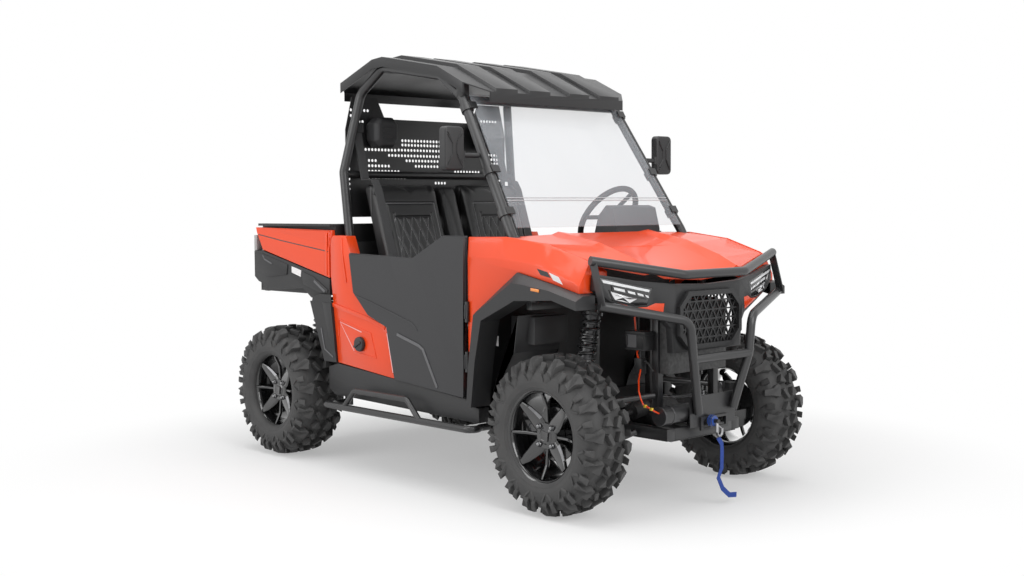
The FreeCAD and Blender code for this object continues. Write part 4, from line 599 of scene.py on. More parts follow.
carcass_edge = [(178, 0.70), (180, 0.80), (188, 0.875), (199, 0.93), (203, 0.955), (206, 0.955),
                (209, 0.965), (226, 0.99), (240, 0.98), (257, 0.955), (270, 0.90), (288, 0.79), (299, 0.62),
                (303, 0.35), (304, 0.0)]
pitches = 16
root_depth, root_share = 4, 0.98


def surface(across, half, top):
    """The (radius, y) of a lug's root, just inside the carcass, or of its top, at a place across."""
    side = -1 if across < 0 else 1
    for a, b in zip(tread_table, tread_table[1:]):
        if a[0] <= abs(across) <= b[0]:
            t = (abs(across) - a[0]) / (b[0] - a[0])
            _, width, radius, top_width, top_radius = [p + (q - p) * t for p, q in zip(a, b)]
            if top:
                return top_radius / 1000, side * half * top_width
            return (radius - root_depth) / 1000, side * half * width * root_share
    raise ValueError(across)


def lug_rings(outline, side, centre, half):
    """The root ring and the top ring of one lug."""
    shift = 0.5 if side < 0 else 0.0
    for top in (False, True):
        ring = []
        for along, across in outline:
            radius, y = surface(side * across, half, top)
            angle = (along + shift) * 2 * math.pi / pitches
            ring.append(centre + Vector((radius * math.cos(angle), y, radius * math.sin(angle))))
        yield ring


def tyre_mesh(centre, half):
    mesh = bmesh.new()
    for side in (-1, 1):
        for outline in (shoulder_lug, *centre_lugs, *edge_lugs):
            bridged(mesh, list(lug_rings(outline, side, centre, half)))
    bmesh.ops.recalc_face_normals(mesh, faces=mesh.faces)
    bevelled(mesh, 0.0018)
    bmesh.ops.spin(mesh, geom=everything(mesh), cent=centre, axis=(0, 1, 0), dvec=(0, 0, 0),
                   angle=2 * math.pi * (pitches - 1) / pitches, steps=pitches - 1, use_duplicate=True)
    profile = [(radius / 1000, half * share) for radius, share in carcass_edge]
    profile += [(radius, -y) for radius, y in reversed(profile[:-1])]
    carcass = bmesh.new()
    spun(carcass, profile, centre, 96)
    joined(mesh, healed(carcass))
    return mark_sharp(mesh, 35.0)


for end, (centre, half) in wheel_places.items():
    rubber = tyre_finish(end + "_tyre_rubber", centre)
    add_pair(f"tyre_{end}_SIDE_tread", tyre_mesh(centre, half), rubber, f"wheel_{end}_SIDE", "tyre",
             f"tyre_{end}_SIDE", side="left")
print("tyres ready")

# %% [markdown]
# The wheel is a spun barrel with four broad spokes on the diagonals and four thin blades between them. A
# spoke is a row of chamfered rings from the hub to the barrel, so its edges catch the light as facets. The
# tables below are in millimetres: radius and distance out for what is spun, and radius, half width and
# distance out for a spoke.

# %% Wheels and spokes
barrel_profile = in_metres([(191, 101), (191, 96), (178, 82), (177, -82), (191, -96), (191, -101),
                            (186, -101), (173, -84), (168, -60), (166, 30), (169, 62), (176, 84), (184, 98),
                            (188, 102)])
hub_profile = in_metres([(0, 71), (30, 71), (36, 67), (52, 66), (56, 60), (56, 12), (0, 12)])
disc_profile = in_metres([(24, 9), (111, 9), (112, 8), (112, 4), (111, 3), (24, 3)])
bolt_profile = in_metres([(0, 83), (4, 82.5), (7.5, 80), (9.2, 76), (9.5, 73), (12, 71), (12.5, 68)])
paddle = in_metres([(18, 22, 60), (40, 29, 64), (70, 33, 68), (105, 28, 73), (140, 22, 81), (172, 12, 90)])
blade = in_metres([(20, 6, 56), (70, 6, 62), (118, 7, 66), (140, 7, 76), (174, 5, 92)])
paddle_turns = (45, 135, 225, 315)
blade_turns = (0, 90, 180, 270)
chamfer_slope_share, back_share = 0.7, 0.8


def spoke_rings(rows, thick, chamfer_share):
    """Chamfered cross sections of a spoke that points along +X."""
    rings = []
    for r, half, out in rows:
        flat, back = half * (1 - chamfer_share), half * back_share
        low = out - half * chamfer_share * chamfer_slope_share
        behind = out - thick
        ring = [(out, flat), (low, half), (behind, back), (behind, -back), (low, -half), (out, -flat)]
        rings.append([Vector((r, y, z)) for y, z in ring])
    return rings


def spoke(rows, thick, chamfer_share, centre, degrees):
    mesh = healed(bridged(bmesh.new(), spoke_rings(rows, thick, chamfer_share)))
    return moved(turned(bevelled(mesh, 0.0012, 2, 20.0), degrees), centre)


def wheel_mesh(centre):
    mesh = bmesh.new()
    for profile, steps in ((barrel_profile, 80), (hub_profile, 48), (disc_profile, 64)):
        spun(mesh, profile, centre, steps)
    healed(mesh)
    for degrees in paddle_turns:
        joined(mesh, spoke(paddle, 0.020, 0.30, centre, degrees))
    for degrees in blade_turns:
        joined(mesh, spoke(blade, 0.016, 0.45, centre, degrees))
    return mark_sharp(mesh, 30.0)


print("spokes ready")

# %% [markdown]
# Four domed bolts sit on the hub, and a blank square cap with a raised rim closes it. Two opposite broad
# spokes carry a thin grey metal strip on one chamfer, a painted highlight where the lamps reflect, drawn from
# rings like the spoke's own.

# %% Bolts, caps and painted highlights
bolt_circle = 0.052
cap_half, cap_turn, cap_back, cap_front = 0.019, 8, 0.069, 0.0765
cap_rim, cap_sink = 0.003, 0.0015
# Width and thickness of the painted highlight strips on the spokes' chamfers.
glint_chamfer_share, glint_half_thick = 0.34, 0.0009


def bolts_mesh(centre):
    mesh = bmesh.new()
    for degrees in paddle_turns:
        angle = math.radians(degrees)
        spot = centre + bolt_circle * Vector((math.cos(angle), 0, math.sin(angle)))
        spun(mesh, bolt_profile, spot, 20, closed=False)
    return mark_sharp(healed(mesh), 50.0)


def cap_mesh(centre):
    mesh = bmesh.new()
    low, high = Vector((-cap_half, cap_back, -cap_half)), Vector((cap_half, cap_front, cap_half))
    box_at(mesh, centre + low, centre + high)
    outer = [face for face in mesh.faces if face.normal.y > 0.9]
    bmesh.ops.inset_region(mesh, faces=outer, thickness=cap_rim, depth=-cap_sink)
    return mark_sharp(bevelled(turned(mesh, cap_turn, centre), 0.0007, 2))


# Thin grey metal strips on one chamfer of two opposite spokes: a painted highlight, not a finish of the wheel.
def glint_strips_mesh(centre):
    mesh = bmesh.new()
    for degrees, side in ((225, -1), (45, 1)):
        normal = Vector((0, 0.6, 0.8 * side)) * glint_half_thick
        rings = []
        for row in spoke_rings(paddle[2:5], 0.020, glint_chamfer_share):
            top, low = (row[0], row[1]) if side > 0 else (row[5], row[4])
            rings.append([top + normal, low + normal, low - normal, top - normal])
        joined(mesh, moved(turned(healed(bridged(bmesh.new(), rings)), degrees), centre))
    return mesh


# The facets pieces are the painted highlight strips on two spokes.
makers = {"bolts": (bolts_mesh, dark_chrome), "cap": (cap_mesh, wheel_black), "facets": (glint_strips_mesh, painted_glint)}
for end, (centre, _) in wheel_places.items():
    body = f"wheel_{end}_SIDE"
    add_pair(body, wheel_mesh(centre), wheel_black, body, "rim", f"rim_{end}_SIDE", side="left")
    for kind, (maker, finish) in makers.items():
        add_pair(f"{kind}_{end}_SIDE", maker(centre), finish, body, "rim", side="left")
print("wheels ready")

# %% [markdown]
# ## Seats
# A seat starts as the solid's side outline, pulled in, so that it can swell. The copy is remeshed into
# small even squares, then Blender's Cloth blows it up like a stuffed cover. Each point's move is capped, so
# the cover stays close to the solid. The quilting comes after that: points near a stitched line are pressed
# in.

# %% Stuffed covers
def evaluated_mesh(shape):
    depsgraph = bpy.context.evaluated_depsgraph_get()
    return bpy.data.meshes.new_from_object(shape.evaluated_get(depsgraph))


def side_block(outline, y0, y1, round_by):
    """A side view outline of (x, z) points between two widths, with rounded edges."""
    mesh = bridged(bmesh.new(), [[(x, y, z) for x, z in outline] for y in (y0, y1)])
    return bevelled(healed(mesh), round_by, 3)


def swell(shape, cap):
    """Blows a shape up with Cloth, and keeps each point's move under a cap."""
    start = [point.co.copy() for point in shape.data.vertices]
    cloth = shape.modifiers.new("cloth", "CLOTH")
    cloth.settings.use_pressure = True
    cloth.settings.uniform_pressure_force = 4.0
    cloth.settings.effector_weights.gravity = 0.0
    cloth.settings.quality = 5
    for step in range(1, 21):
        bpy.context.scene.frame_set(step)
    swollen = evaluated_mesh(shape)
    shape.modifiers.clear()
    bpy.context.scene.frame_set(1)
    for point, before, after in zip(shape.data.vertices, start, swollen.vertices):
        move = after.co - before
        point.co = before + move * min(1.0, cap / max(move.length, 1e-6))
    bpy.data.meshes.remove(swollen)


def stuffed(mesh, voxel, cap):
    """A remeshed copy of a shape, swollen, then subdivided once."""
    data = bpy.data.meshes.new("pad")
    mesh.to_mesh(data)
    mesh.free()
    shape = linked("pad", data)
    squares = shape.modifiers.new("squares", "REMESH")
    squares.mode = "VOXEL"
    squares.voxel_size = voxel
    shape.data = evaluated_mesh(shape)
    shape.modifiers.clear()
    swell(shape, cap)
    finer = shape.modifiers.new("finer", "SUBSURF")
    finer.levels = finer.render_levels = 1
    done = evaluated_mesh(shape)
    bpy.data.objects.remove(shape)
    made = bmesh.new()
    made.from_mesh(done)
    bpy.data.meshes.remove(done)
    bmesh.ops.recalc_face_normals(made, faces=made.faces)
    return made


print("stuffing ready")

# %% [markdown]
# The quilted field has crossing seams that make diamonds, a seam round it, and a second seam further out. A
# point's press depth is the deepest of the grooves near it. Each groove is a bell curve across its seam.

# %% Quilting
quilt_cell = (0.052, 0.150)
second_seam = (0.034, 0.072)
seam_reach = 0.02
quilt_slope = math.hypot(1 / quilt_cell[0], 1 / quilt_cell[1])


def groove(distance, depth, width):
    return depth * math.exp(-(distance / width) ** 2)


def quilt(across, along, half, low, high):
    """How deep a point is pressed in by the diamond stitching and the seams round the quilted field."""
    step, lift = second_seam
    grooves = [0.0]
    if abs(across) < half and low < along < high:
        for sign in (1, -1):
            line = across / quilt_cell[0] + sign * along / quilt_cell[1]
            grooves.append(groove(abs(line - round(line)) / quilt_slope, 0.005, 0.0045))
    if low - seam_reach < along < high + seam_reach:
        grooves.append(groove(abs(abs(across) - half), 0.009, 0.006))
    if abs(across) < half:
        grooves.append(groove(min(abs(along - low), abs(along - high)), 0.007, 0.006))
    if low < along < high + lift:
        grooves.append(groove(abs(abs(across) - half - step), 0.006, 0.006))
    if abs(across) < half + step:
        grooves.append(groove(abs(along - high - lift), 0.006, 0.006))
    return max(grooves)


def pressed(mesh, depth_at):
    """Moves each point in along its normal by a depth that depends on its place."""
    mesh.normal_update()
    moves = [(vert, vert.normal * -depth_at(vert.co, vert.normal)) for vert in mesh.verts]
    for vert, move in moves:
        vert.co += move
    for face in mesh.faces:
        face.smooth = True
    return mesh


seat_y, seat_half, pull_in = 0.283, 0.217, 0.012
back_field = (0.118, 0.03, 0.435)
cushion_field = (0.130, -0.20, 0.02)
back_foot, back_way = Vector((-0.2149, 0, 0.8004)), Vector((-0.1853, 0, 0.5496)).normalized()


def back_press(co, normal):
    across = co.y - seat_y
    if normal.x < 0.3:
        return groove(abs(co.x + 0.44), 0.004, 0.005) if abs(across) > 0.18 else 0.0
    return quilt(across, (co - back_foot).dot(back_way), *back_field)


def cushion_press(co, normal):
    if normal.z < 0.3:
        return groove(abs(co.z - 0.700), 0.004, 0.005)
    return quilt(co.y - seat_y, co.x, *cushion_field)


def pad_press(co, normal):
    return groove(abs(abs(co.y) - 0.040), 0.003, 0.005) if normal.x > 0.2 or normal.z > 0.2 else 0.0


print("quilting ready")

# %% [markdown]
# The thread is part of the vinyl's colour: a paler dash along each stitched line. The shader repeats the
# same diamond sums as the pressing does, so thread and groove meet. Distances come from Object coordinates.

# %% Stitched vinyl
thread_half, dashes_per_metre, dash_share, skin_depth = 0.0012, 190.0, 0.68, -0.06


def dashed(place):
    """1 on a stitch and 0 in the gap to the next one."""
    return (place * dashes_per_metre).math("FRACT") < dash_share


def stitched_vinyl(name, centre, lean, half, low, high):
    made = Finish(name, (0.016, 0.016, 0.017), 0.42, IOR=1.5)
    place = made.coords(centre, (0, lean, 0))
    along, sideways, out = made.axes(place)
    across = sideways.abs() - seat_y
    shown = out > skin_depth
    diamonds = []
    for sign in (1, -1):
        line = across * (1 / quilt_cell[0]) + along * (sign / quilt_cell[1])
        off = (line + 0.5).math("FRACT") - 0.5
        diamonds.append(((off.abs() * (1 / quilt_slope)) < thread_half) * dashed(along + across * 0.6))
    inside = (across.abs() < half) * (along > low) * (along < high)
    seam = ((across.abs() - half).abs() < thread_half) * dashed(along)
    seam = seam * (along > low - seam_reach) * (along < high + seam_reach)
    step, lift = second_seam
    outer = ((across.abs() - half - step).abs() < thread_half) * (along > low) * (along < high + lift)
    top = ((along - high - lift).abs() < thread_half) * (across.abs() < half + step)
    thread = (diamonds[0].math("MAXIMUM", diamonds[1]) * inside).math("MAXIMUM", seam)
    thread = thread.math("MAXIMUM", outer + top) * shown
    pores = made.node("TexVoronoi", {"feature": "SMOOTH_F1"}, {"Vector": place, "Scale": 420.0})
    wear = made.noise(place, 7.0, 4.0)
    shade = made.mix(wear, (0.012, 0.012, 0.0125, 1), (0.026, 0.026, 0.027, 1))
    made.set("Base Color", made.mix(thread, shade, (0.30, 0.30, 0.31, 1)))
    made.set("Roughness", wear * 0.18 + 0.33)
    made.bump(pores * 0.6 + thread * 0.8, 0.4, 0.0007)
    return made


back_lean = -math.atan2(back_way.z, back_way.x)
back_vinyl = stitched_vinyl("back_vinyl", (back_foot.x, 0, back_foot.z), back_lean, *back_field)
cushion_vinyl = stitched_vinyl("cushion_vinyl", (0, 0, 0.7), 0.0, *cushion_field)
print("stitched vinyl ready")

# %% [markdown]
# Two seats are stuffed and quilted, and mirrored for the other side. The narrow middle pads between them
# are plain, and the middle back is a little shorter than the seats.

# %% Seats and middle pads
foot_z, shorter_share, pad_half = 0.7454, 0.97, 0.048
back_outline = [(-0.322, 0.752), (-0.236, 0.752), (-0.229, 0.800), (-0.412, 1.343), (-0.436, 1.379),
                (-0.500, 1.379), (-0.505, 1.356)]
pad_back_outline = [(x, foot_z + (z - foot_z) * shorter_share) for x, z in back_outline]
cushion_outline = [(-0.330, 0.634), (0.117, 0.634), (0.117, 0.700), (0.088, 0.731), (-0.330, 0.733)]
seat_edges = (seat_y - seat_half + pull_in, seat_y + seat_half - pull_in)
most_swell, fill_share = 0.013, 0.6
seats = {"seat_back": (back_outline, back_press, back_vinyl, "seat_backs"),
         "seat_cushion": (cushion_outline, cushion_press, cushion_vinyl, "seat_cushions")}
for kind, (outline, press, finish, node) in seats.items():
    cover = pressed(stuffed(side_block(outline, *seat_edges, 0.024), 0.008, most_swell), press)
    for piece in add_pair(kind + "_SIDE", cover, finish, "chassis", "vinyl", node, side="left"):
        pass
for kind, outline, node in (("middle_back", pad_back_outline, "seat_backs"),
                            ("middle_cushion", cushion_outline, "seat_cushions")):
    cover = pressed(stuffed(side_block(outline, -pad_half, pad_half, 0.016), 0.006, most_swell), pad_press)
    add_piece(kind + "_left", cover, vinyl, "chassis", "vinyl", node)
print("seats ready")

# %% [markdown]
# ## Behind the seats
# The rear screen's holes are real. Its outline and one ring of edges for each hole are filled together,
# which leaves the rings open, and the flat sheet then gets its thickness. The holes stand in rows, each
# with a height, a first place and a last place across.

# %% Perforated screen
hole_pitch, hole_radius, sheet_thick, sheet_gap = 0.0205, 0.0074, 0.0028, 0.00025
hole_rows = [(1.737, -0.495, -0.400), (1.709, -0.495, -0.450), (1.682, -0.445, -0.430),
             (1.596, -0.176, 0.062), (1.574, -0.176, 0.062), (1.548, -0.200, 0.062), (1.520, -0.262, 0.062),
             (1.495, -0.150, 0.062), (1.468, -0.090, 0.062), (1.546, -0.408, -0.225), (1.492, -0.388, -0.350),
             (1.466, -0.388, -0.258), (1.439, -0.388, -0.200), (1.409, -0.388, -0.170),
             (1.443, 0.175, 0.336), (1.412, 0.143, 0.336), (1.383, 0.041, 0.096),
             (1.714, 0.361, 0.472), (1.535, 0.412, 0.512), (1.512, 0.412, 0.512), (1.489, 0.433, 0.512),
             (1.466, 0.412, 0.512), (1.402, 0.470, 0.512)]
column_y, column_foot, column_pitch, column_holes = -0.511, 1.350, 0.0248, 10
holes = [(first + i * hole_pitch, z) for z, first, last in hole_rows
         for i in range(int((last - first) / hole_pitch + 0.5) + 1)]
holes += [(column_y, column_foot + column_pitch * k) for k in range(column_holes)]
screen_low, screen_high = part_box("rear_screen")
half, foot, top, screen_x = screen_high.y, screen_low.z, screen_high.z, screen_high.x
screen_outline = [(half, foot), (half, 1.640), (0.490, top), (0.336, top), (0.287, 1.700)]
screen_outline += [(-y, z) for y, z in reversed(screen_outline)]
facing_front = Matrix.Rotation(math.pi / 2, 4, "Y")
sheet = bmesh.new()
corners = [sheet.verts.new((screen_x, y, z)) for y, z in screen_outline]
edges = [sheet.edges.new((a, b)) for a, b in zip(corners, corners[1:] + corners[:1])]
for y, z in holes:
    ring = bmesh.ops.create_circle(sheet, segments=12, radius=hole_radius,
                                   matrix=Matrix.Translation((screen_x, y, z)) @ facing_front)
    edges += list({edge for vert in ring["verts"] for edge in vert.link_edges})
bmesh.ops.triangle_fill(sheet, use_beauty=True, use_dissolve=False, edges=edges)
bmesh.ops.recalc_face_normals(sheet, faces=sheet.faces)
bmesh.ops.solidify(sheet, geom=sheet.faces[:], thickness=sheet_thick)
front_x = max(vert.co.x for vert in sheet.verts)
bmesh.ops.translate(sheet, vec=(screen_x - sheet_gap - front_x, 0, 0), verts=sheet.verts)
bmesh.ops.recalc_face_normals(sheet, faces=sheet.faces)
add_piece("perforated_screen", mark_sharp(sheet), frame_black, "chassis", "screen_steel", "rear_screen")
print(len(holes), "holes in the screen")

# %% [markdown]
# The headrests are hard plastic with chamfered edges, a sunken face and three ridges in it. The belts keep
# the solid's path. Each gets a plastic guide at the shoulder and a buckle tongue.

# %% Headrests and belts
rest_low, rest_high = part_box("headrests")
rest_z, ridge_pitch, corner_share = (rest_low.z + rest_high.z) / 2, 0.022, 0.42
rest_y = rest_high.y - 0.0725
rest_rows = [(-0.5703, 0.052, 0.052), (-0.545, 0.068, 0.070), (-0.480, 0.072, 0.0745), (-0.461, 0.060, 0.062),
             (-0.4565, 0.050, 0.050)]
inner = 1 - corner_share
octagon = [(-1, -inner), (-inner, -1), (inner, -1), (1, -inner), (1, inner), (inner, 1), (-inner, 1),
           (-1, inner)]
ridge_half, ridge_half_high, ridge_back, ridge_front = 0.028, 0.004, -0.4615, -0.4575
belt_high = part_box("seat_belts")[1]
belt_y, guide_half, tongue_half = belt_high.y - 0.023, 0.030, 0.027
guide_foot, guide_top = belt_high.z - 0.046, belt_high.z + 0.002


def sunken_front(mesh, border, depth):
    """Sets the faces that look forward into the shape, inside a border."""
    front = [face for face in mesh.faces if face.normal.x > 0.95]
    bmesh.ops.inset_region(mesh, faces=front, thickness=border, depth=-depth)


rest = bridged(bmesh.new(), [[(x, rest_y + half_y * u, rest_z + half_z * v) for u, v in octagon]
                             for x, half_y, half_z in rest_rows])
sunken_front(healed(rest), 0.012, 0.004)
bevelled(rest, 0.004, 2, 20.0)
for row in (-1, 0, 1):
    z = rest_z + row * ridge_pitch
    box_at(rest, (ridge_back, rest_y - ridge_half, z - ridge_half_high),
           (ridge_front, rest_y + ridge_half, z + ridge_half_high))
add_pair("headrest_SIDE", mark_sharp(rest), dash_moulding, "chassis", "vinyl", "headrests", side="left")
guide = bmesh.new()
box_at(guide, (-0.560, belt_y - guide_half, guide_foot), (-0.549, belt_y + guide_half, guide_top))
sunken_front(guide, 0.007, 0.003)
box_at(guide, (-0.412, belt_y - tongue_half, 1.318), (-0.396, belt_y + tongue_half, 1.338))
bevelled(guide, 0.003, 2)
add_pair("belt_guide_SIDE", mark_sharp(guide), dash_moulding, "chassis", "webbing", side="left")
print("cabin ready")

# %% [markdown]
# ## Body panels
# The door and the bed side are moulded with a long crease, so their two halves catch the light differently.
# The flat face is cut along the crease with bisect_plane, and the points on each side move inwards by a
# share of their distance from it, which keeps each half flat.

# %% Creased panels
panel_bevel, outer_skin = 0.004, 0.0045


def creased(mesh, near, far, slope_shares):
    """Folds the outer side faces along a line from near to far, with a slope for each side of it."""
    line = Vector((far[0] - near[0], 0, far[1] - near[1])).normalized()
    across = Vector((line.z, 0, -line.x))
    start = Vector((near[0], 0, near[1]))
    bmesh.ops.bisect_plane(mesh, geom=everything(mesh), dist=0.0001, plane_co=start, plane_no=across)
    outer = max(abs(vert.co.y) for vert in mesh.verts)
    for vert in mesh.verts:
        if abs(vert.co.y) > outer - outer_skin:
            off = (vert.co - start).dot(across)
            inwards = -1 if vert.co.y > 0 else 1
            vert.co.y += inwards * abs(off) * slope_shares[0 if off > 0 else 1]


def mark_folds(mesh):
    """Shades the shallow folds of a side face as sharp lines."""
    for edge in mesh.edges:
        if len(edge.link_faces) == 2 and min(abs(face.normal.y) for face in edge.link_faces) > 0.9:
            if edge.calc_face_angle() > math.radians(1.5):
                edge.smooth = False


def creased_panel(name, node, finish, near, far, slope_shares):
    mesh = bevelled(merged_copy(node), panel_bevel, 2)
    creased(mesh, near, far, slope_shares)
    mark_folds(mark_sharp(mesh))
    add_piece(name, mesh, finish, body_of_node[node], record_slots[node], node)


for door in ("door_left", "door_right"):
    creased_panel(door + "_skin", door, door_moulding, (0.113, 1.032), (0.389, 0.491), (0.03, 0.06))
creased_panel("bed_side_skins", "bed_sides", red_panel, (-1.215, 1.135), (-0.545, 1.050), (0.0, 0.2))
print("panels creased")

# %% [markdown]
# Trim strips, stripes and plain labels are thin plates that lie on the panels. Each one is an outline of
# side view points in millimetres, given a thickness by two bridged rings and copied to the other side. A
# film is almost flush with the panel, and a moulded trim sinks into it a little and stands out more.

# %% Films on the sides
panel_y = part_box("rear_panels")[0].y
film_y = panel_y + 0.0002
trim_y = panel_y + 0.0008


def side_plate(mesh, outline, face_y, thick):
    """A plate on the right side face, from (x, z) points in millimetres."""
    points = in_metres(outline)
    return bridged(mesh, [[(x, y, z) for x, z in points] for y in (face_y, face_y - thick)])


def ribbon(points, width):
    """The outline of a strip of one width along a bent line."""
    left, right = [], []
    for i, (x, z) in enumerate(points):
        before, after = points[max(i - 1, 0)], points[min(i + 1, len(points) - 1)]
        way = Vector((after[0] - before[0], after[1] - before[1])).normalized() * width / 2
        left.append((x - way.y, z + way.x))
        right.append((x + way.y, z - way.x))
    return left + right[::-1]


def both_sides(name, outlines, face_y, thick, finish, body="chassis", slot_name="body_red", bevel=0.0):
    """Plates on the right side and their mirror images, one piece for each side."""
    mesh = bmesh.new()
    for outline in outlines:
        side_plate(mesh, outline, face_y, thick)
    healed(mesh)
    if bevel:
        bevelled(mesh, bevel, 2)
    many_sided = [face for face in mesh.faces if len(face.verts) > 4]
    bmesh.ops.triangulate(mesh, faces=many_sided, ngon_method="EAR_CLIP")
    add_pair(name + "_SIDE", mark_sharp(mesh), finish, body, slot_name)


both_sides("rear_stripe", [[(-120, 677), (-88, 688), (-64, 500), (-78, 497)]], film_y, 0.0008, pink_film)
both_sides("fill_lines", [ribbon([(-312, 670), (-484, 709), (-373, 577)], 5)], film_y, 0.0012, pink_film)
both_sides("cowl_patch", [[(880, 1006), (940, 994), (962, 970), (902, 981)]], film_y, 0.001, black_film)
both_sides("cowl_stripe", [[(950, 992), (1004, 976), (1028, 946), (974, 962)]], film_y, 0.001, white_film)
both_sides("bed_pinstripe", [ribbon([(-1196, 1123), (-984, 1094), (-575, 1046)], 5)], panel_y + 0.0014,
           0.0016, black_film, "bed")
both_sides("skirt_label", [[(-893, 966), (-809, 948), (-814, 915), (-893, 935)]], film_y, 0.001, white_film,
           "bed", "black_plastic")
print("films ready")

# %% [markdown]
# The moulded trims have a small bevel. The red ones frame the fuel cap and run along the rear panel's
# ledge, and the dark ones are the arches' and skirts' raised fields, the door's grey line and fold, and the
# front marker lamp.

# %% Trims on the sides
both_sides("fill_frame", [ribbon([(-497, 640), (-491, 721), (-240, 668), (-198, 555), (-373, 569)], 9)],
           trim_y, 0.0035, red_panel, bevel=0.0012)
both_sides("rear_ledge", [ribbon([(-544, 790), (-262, 738), (-128, 702)], 20)], trim_y, 0.006, red_panel,
           bevel=0.0025)
both_sides("rear_rib", [ribbon([(-462, 1112), (-458, 1050), (-428, 900)], 9)], trim_y, 0.005, red_panel,
           bevel=0.002)
both_sides("bed_flange", [ribbon([(-590, 1138), (-590, 930)], 16)], panel_y + 0.0025, 0.006, red_panel, "bed",
           bevel=0.002)
arch_y, door_y = panel_y - 0.0098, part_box("door_right")[0].y
skirt_fronts = [(-795, 943), (-700, 920), (-580, 860), (-580, 845), (-640, 842), (-720, 862), (-790, 880)]
skirt_rears = [(-1225, 1026), (-1165, 1026), (-925, 974), (-935, 922), (-1100, 905), (-1225, 935)]
skirt_lines = [ribbon([(-1149, 1016), (-1134, 996), (-1065, 974)], 7), ribbon([(-690, 900), (-600, 850)], 12)]
dark_trims = [
    ("skirt_front_trim", [skirt_fronts], trim_y, 0.006, black_moulding, "bed", 0.002),
    ("skirt_rear_trim", [skirt_rears], trim_y, 0.006, black_moulding, "bed", 0.002),
    ("skirt_lines", skirt_lines, panel_y - 0.005, 0.0025, trim_grey, "bed", 0.0),
    ("arch_lines", [ribbon([(-628, 672), (-600, 570), (-530, 535)], 8)], arch_y, 0.003, trim_grey, "chassis",
     0.001),
    ("arch_facet", [[(-613, 797), (-545, 797), (-520, 640), (-512, 560), (-560, 610)]], arch_y + 0.0003,
     0.004, black_moulding, "chassis", 0.0015),
    ("bed_seal", [[(-706, 796), (-545, 796), (-545, 838), (-640, 838), (-700, 822)]], arch_y + 0.0033, 0.003,
     black_moulding, "chassis", 0.0),
    ("door_trim", [ribbon([(-20, 680), (135, 640), (165, 625), (262, 462)], 14)], door_y + 0.004, 0.0035,
     trim_grey, "door_SIDE", 0.0015),
    ("door_fold", [ribbon([(-340, 845), (-223, 820), (90, 737), (128, 706)], 7)], door_y + 0.0055, 0.0035,
     door_moulding, "door_SIDE", 0.0015)]
for name, outlines, face_y, thick, finish, body, bevel in dark_trims:
    both_sides(name, outlines, face_y, thick, finish, body, "black_plastic", bevel)
marker_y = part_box("wheel_arches")[0].y + 0.0002
both_sides("marker_lamp", [[(897, 931), (944, 926), (944, 914), (897, 919)]], marker_y, 0.004, amber_lens,
           slot_name="lamp", bevel=0.0015)
print("trims ready")

# %% [markdown]
# The bed's floor has low ribs along it, and a lip that closes the gap under the tailgate. The tailgate has
# raised panels and a latch plate, the fuel cap a domed grip, and the wheel liner a blank label.

# %% Bed floor, tailgate and fuel cap
tub_low, tub_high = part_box("bed_tub")
floor_half, rib_half, rib_pitch, ribs = tub_high.y - 0.052, 0.011, 0.15, 7
lip_back, lip_front, lip_foot, lip_top = 0.0055, 0.0415, 0.0402, 0.0443
rib_back, rib_front, rib_foot, rib_top = 0.0465, 0.02275, 0.0495, 0.0545
floor_lip = bmesh.new()
box_at(floor_lip, (tub_low.x + lip_back, -floor_half, tub_low.z + lip_foot),
       (tub_low.x + lip_front, floor_half, tub_low.z + lip_top))
for k in range(ribs):
    rib_y = (k - (ribs - 1) / 2) * rib_pitch
    box_at(floor_lip, (tub_low.x + rib_back, rib_y - rib_half, tub_low.z + rib_foot),
           (tub_high.x - rib_front, rib_y + rib_half, tub_low.z + rib_top))
bevelled(floor_lip, 0.0015)
add_piece("bed_floor_ribs", mark_sharp(floor_lip), black_moulding, "bed", "black_plastic")

gate_low, gate_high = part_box("tailgate")
gate_front, gate_back, gate_half = gate_low.x, gate_low.x - 0.0047, gate_high.y - 0.0397
gap_at, gap_half = 0.195, 0.010
panel_foot, panel_top = gate_low.z + 0.032, gate_low.z + 0.242
band_foot, band_top = gate_high.z - 0.064, gate_high.z - 0.018
latch_half, latch_back, latch_front = 0.062, gate_low.x - 0.0125, gate_low.x - 0.0040
latch_foot, latch_top = band_foot + 0.008, band_top - 0.010
gate = bmesh.new()
for y0, y1 in ((-gate_half, -gap_at - gap_half), (-gap_at + gap_half, gap_at - gap_half),
               (gap_at + gap_half, gate_half)):
    box_at(gate, (gate_back, y0, panel_foot), (gate_front, y1, panel_top))
box_at(gate, (gate_back, -gate_half, band_foot), (gate_front, gate_half, band_top))
bevelled(gate, 0.003, 2)
box_at(gate, (latch_back, -latch_half, latch_foot), (latch_front, latch_half, latch_top))
bevelled(gate, 0.0012, 1, 80.0)
add_piece("tailgate_panels", mark_sharp(gate), black_moulding, "tailgate", "black_plastic")

cap_low, cap_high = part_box("fuel_cap")
cap_centre = ((cap_low.x + cap_high.x) / 2, cap_low.y + 0.0003, (cap_low.z + cap_high.z) / 2)
cap_grip = bmesh.new()
dome = in_metres([(0, -0.4), (33.5, -0.4), (34, -3.5), (28.5, -6), (0, -6)])
spun(cap_grip, dome, cap_centre, 40)
grip_y, grip_thick = cap_low.y - 0.0047, 0.009
side_plate(cap_grip, ribbon([(-343, 600), (-293, 626)], 11), grip_y, grip_thick)
bevelled(healed(cap_grip), 0.0015, 2, 50.0)
add_piece("fuel_cap_grip", mark_sharp(cap_grip), dash_moulding, "chassis", "black_plastic")

liner_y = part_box("wheel_liners")[0].y - 0.0001
small_label = side_plate(bmesh.new(), [(522, 666), (572, 662), (572, 706), (522, 710)], liner_y, 0.0008)
add_piece("liner_label", mark_sharp(healed(small_label)), white_film, "chassis", "black_plastic")
print("small body parts ready")

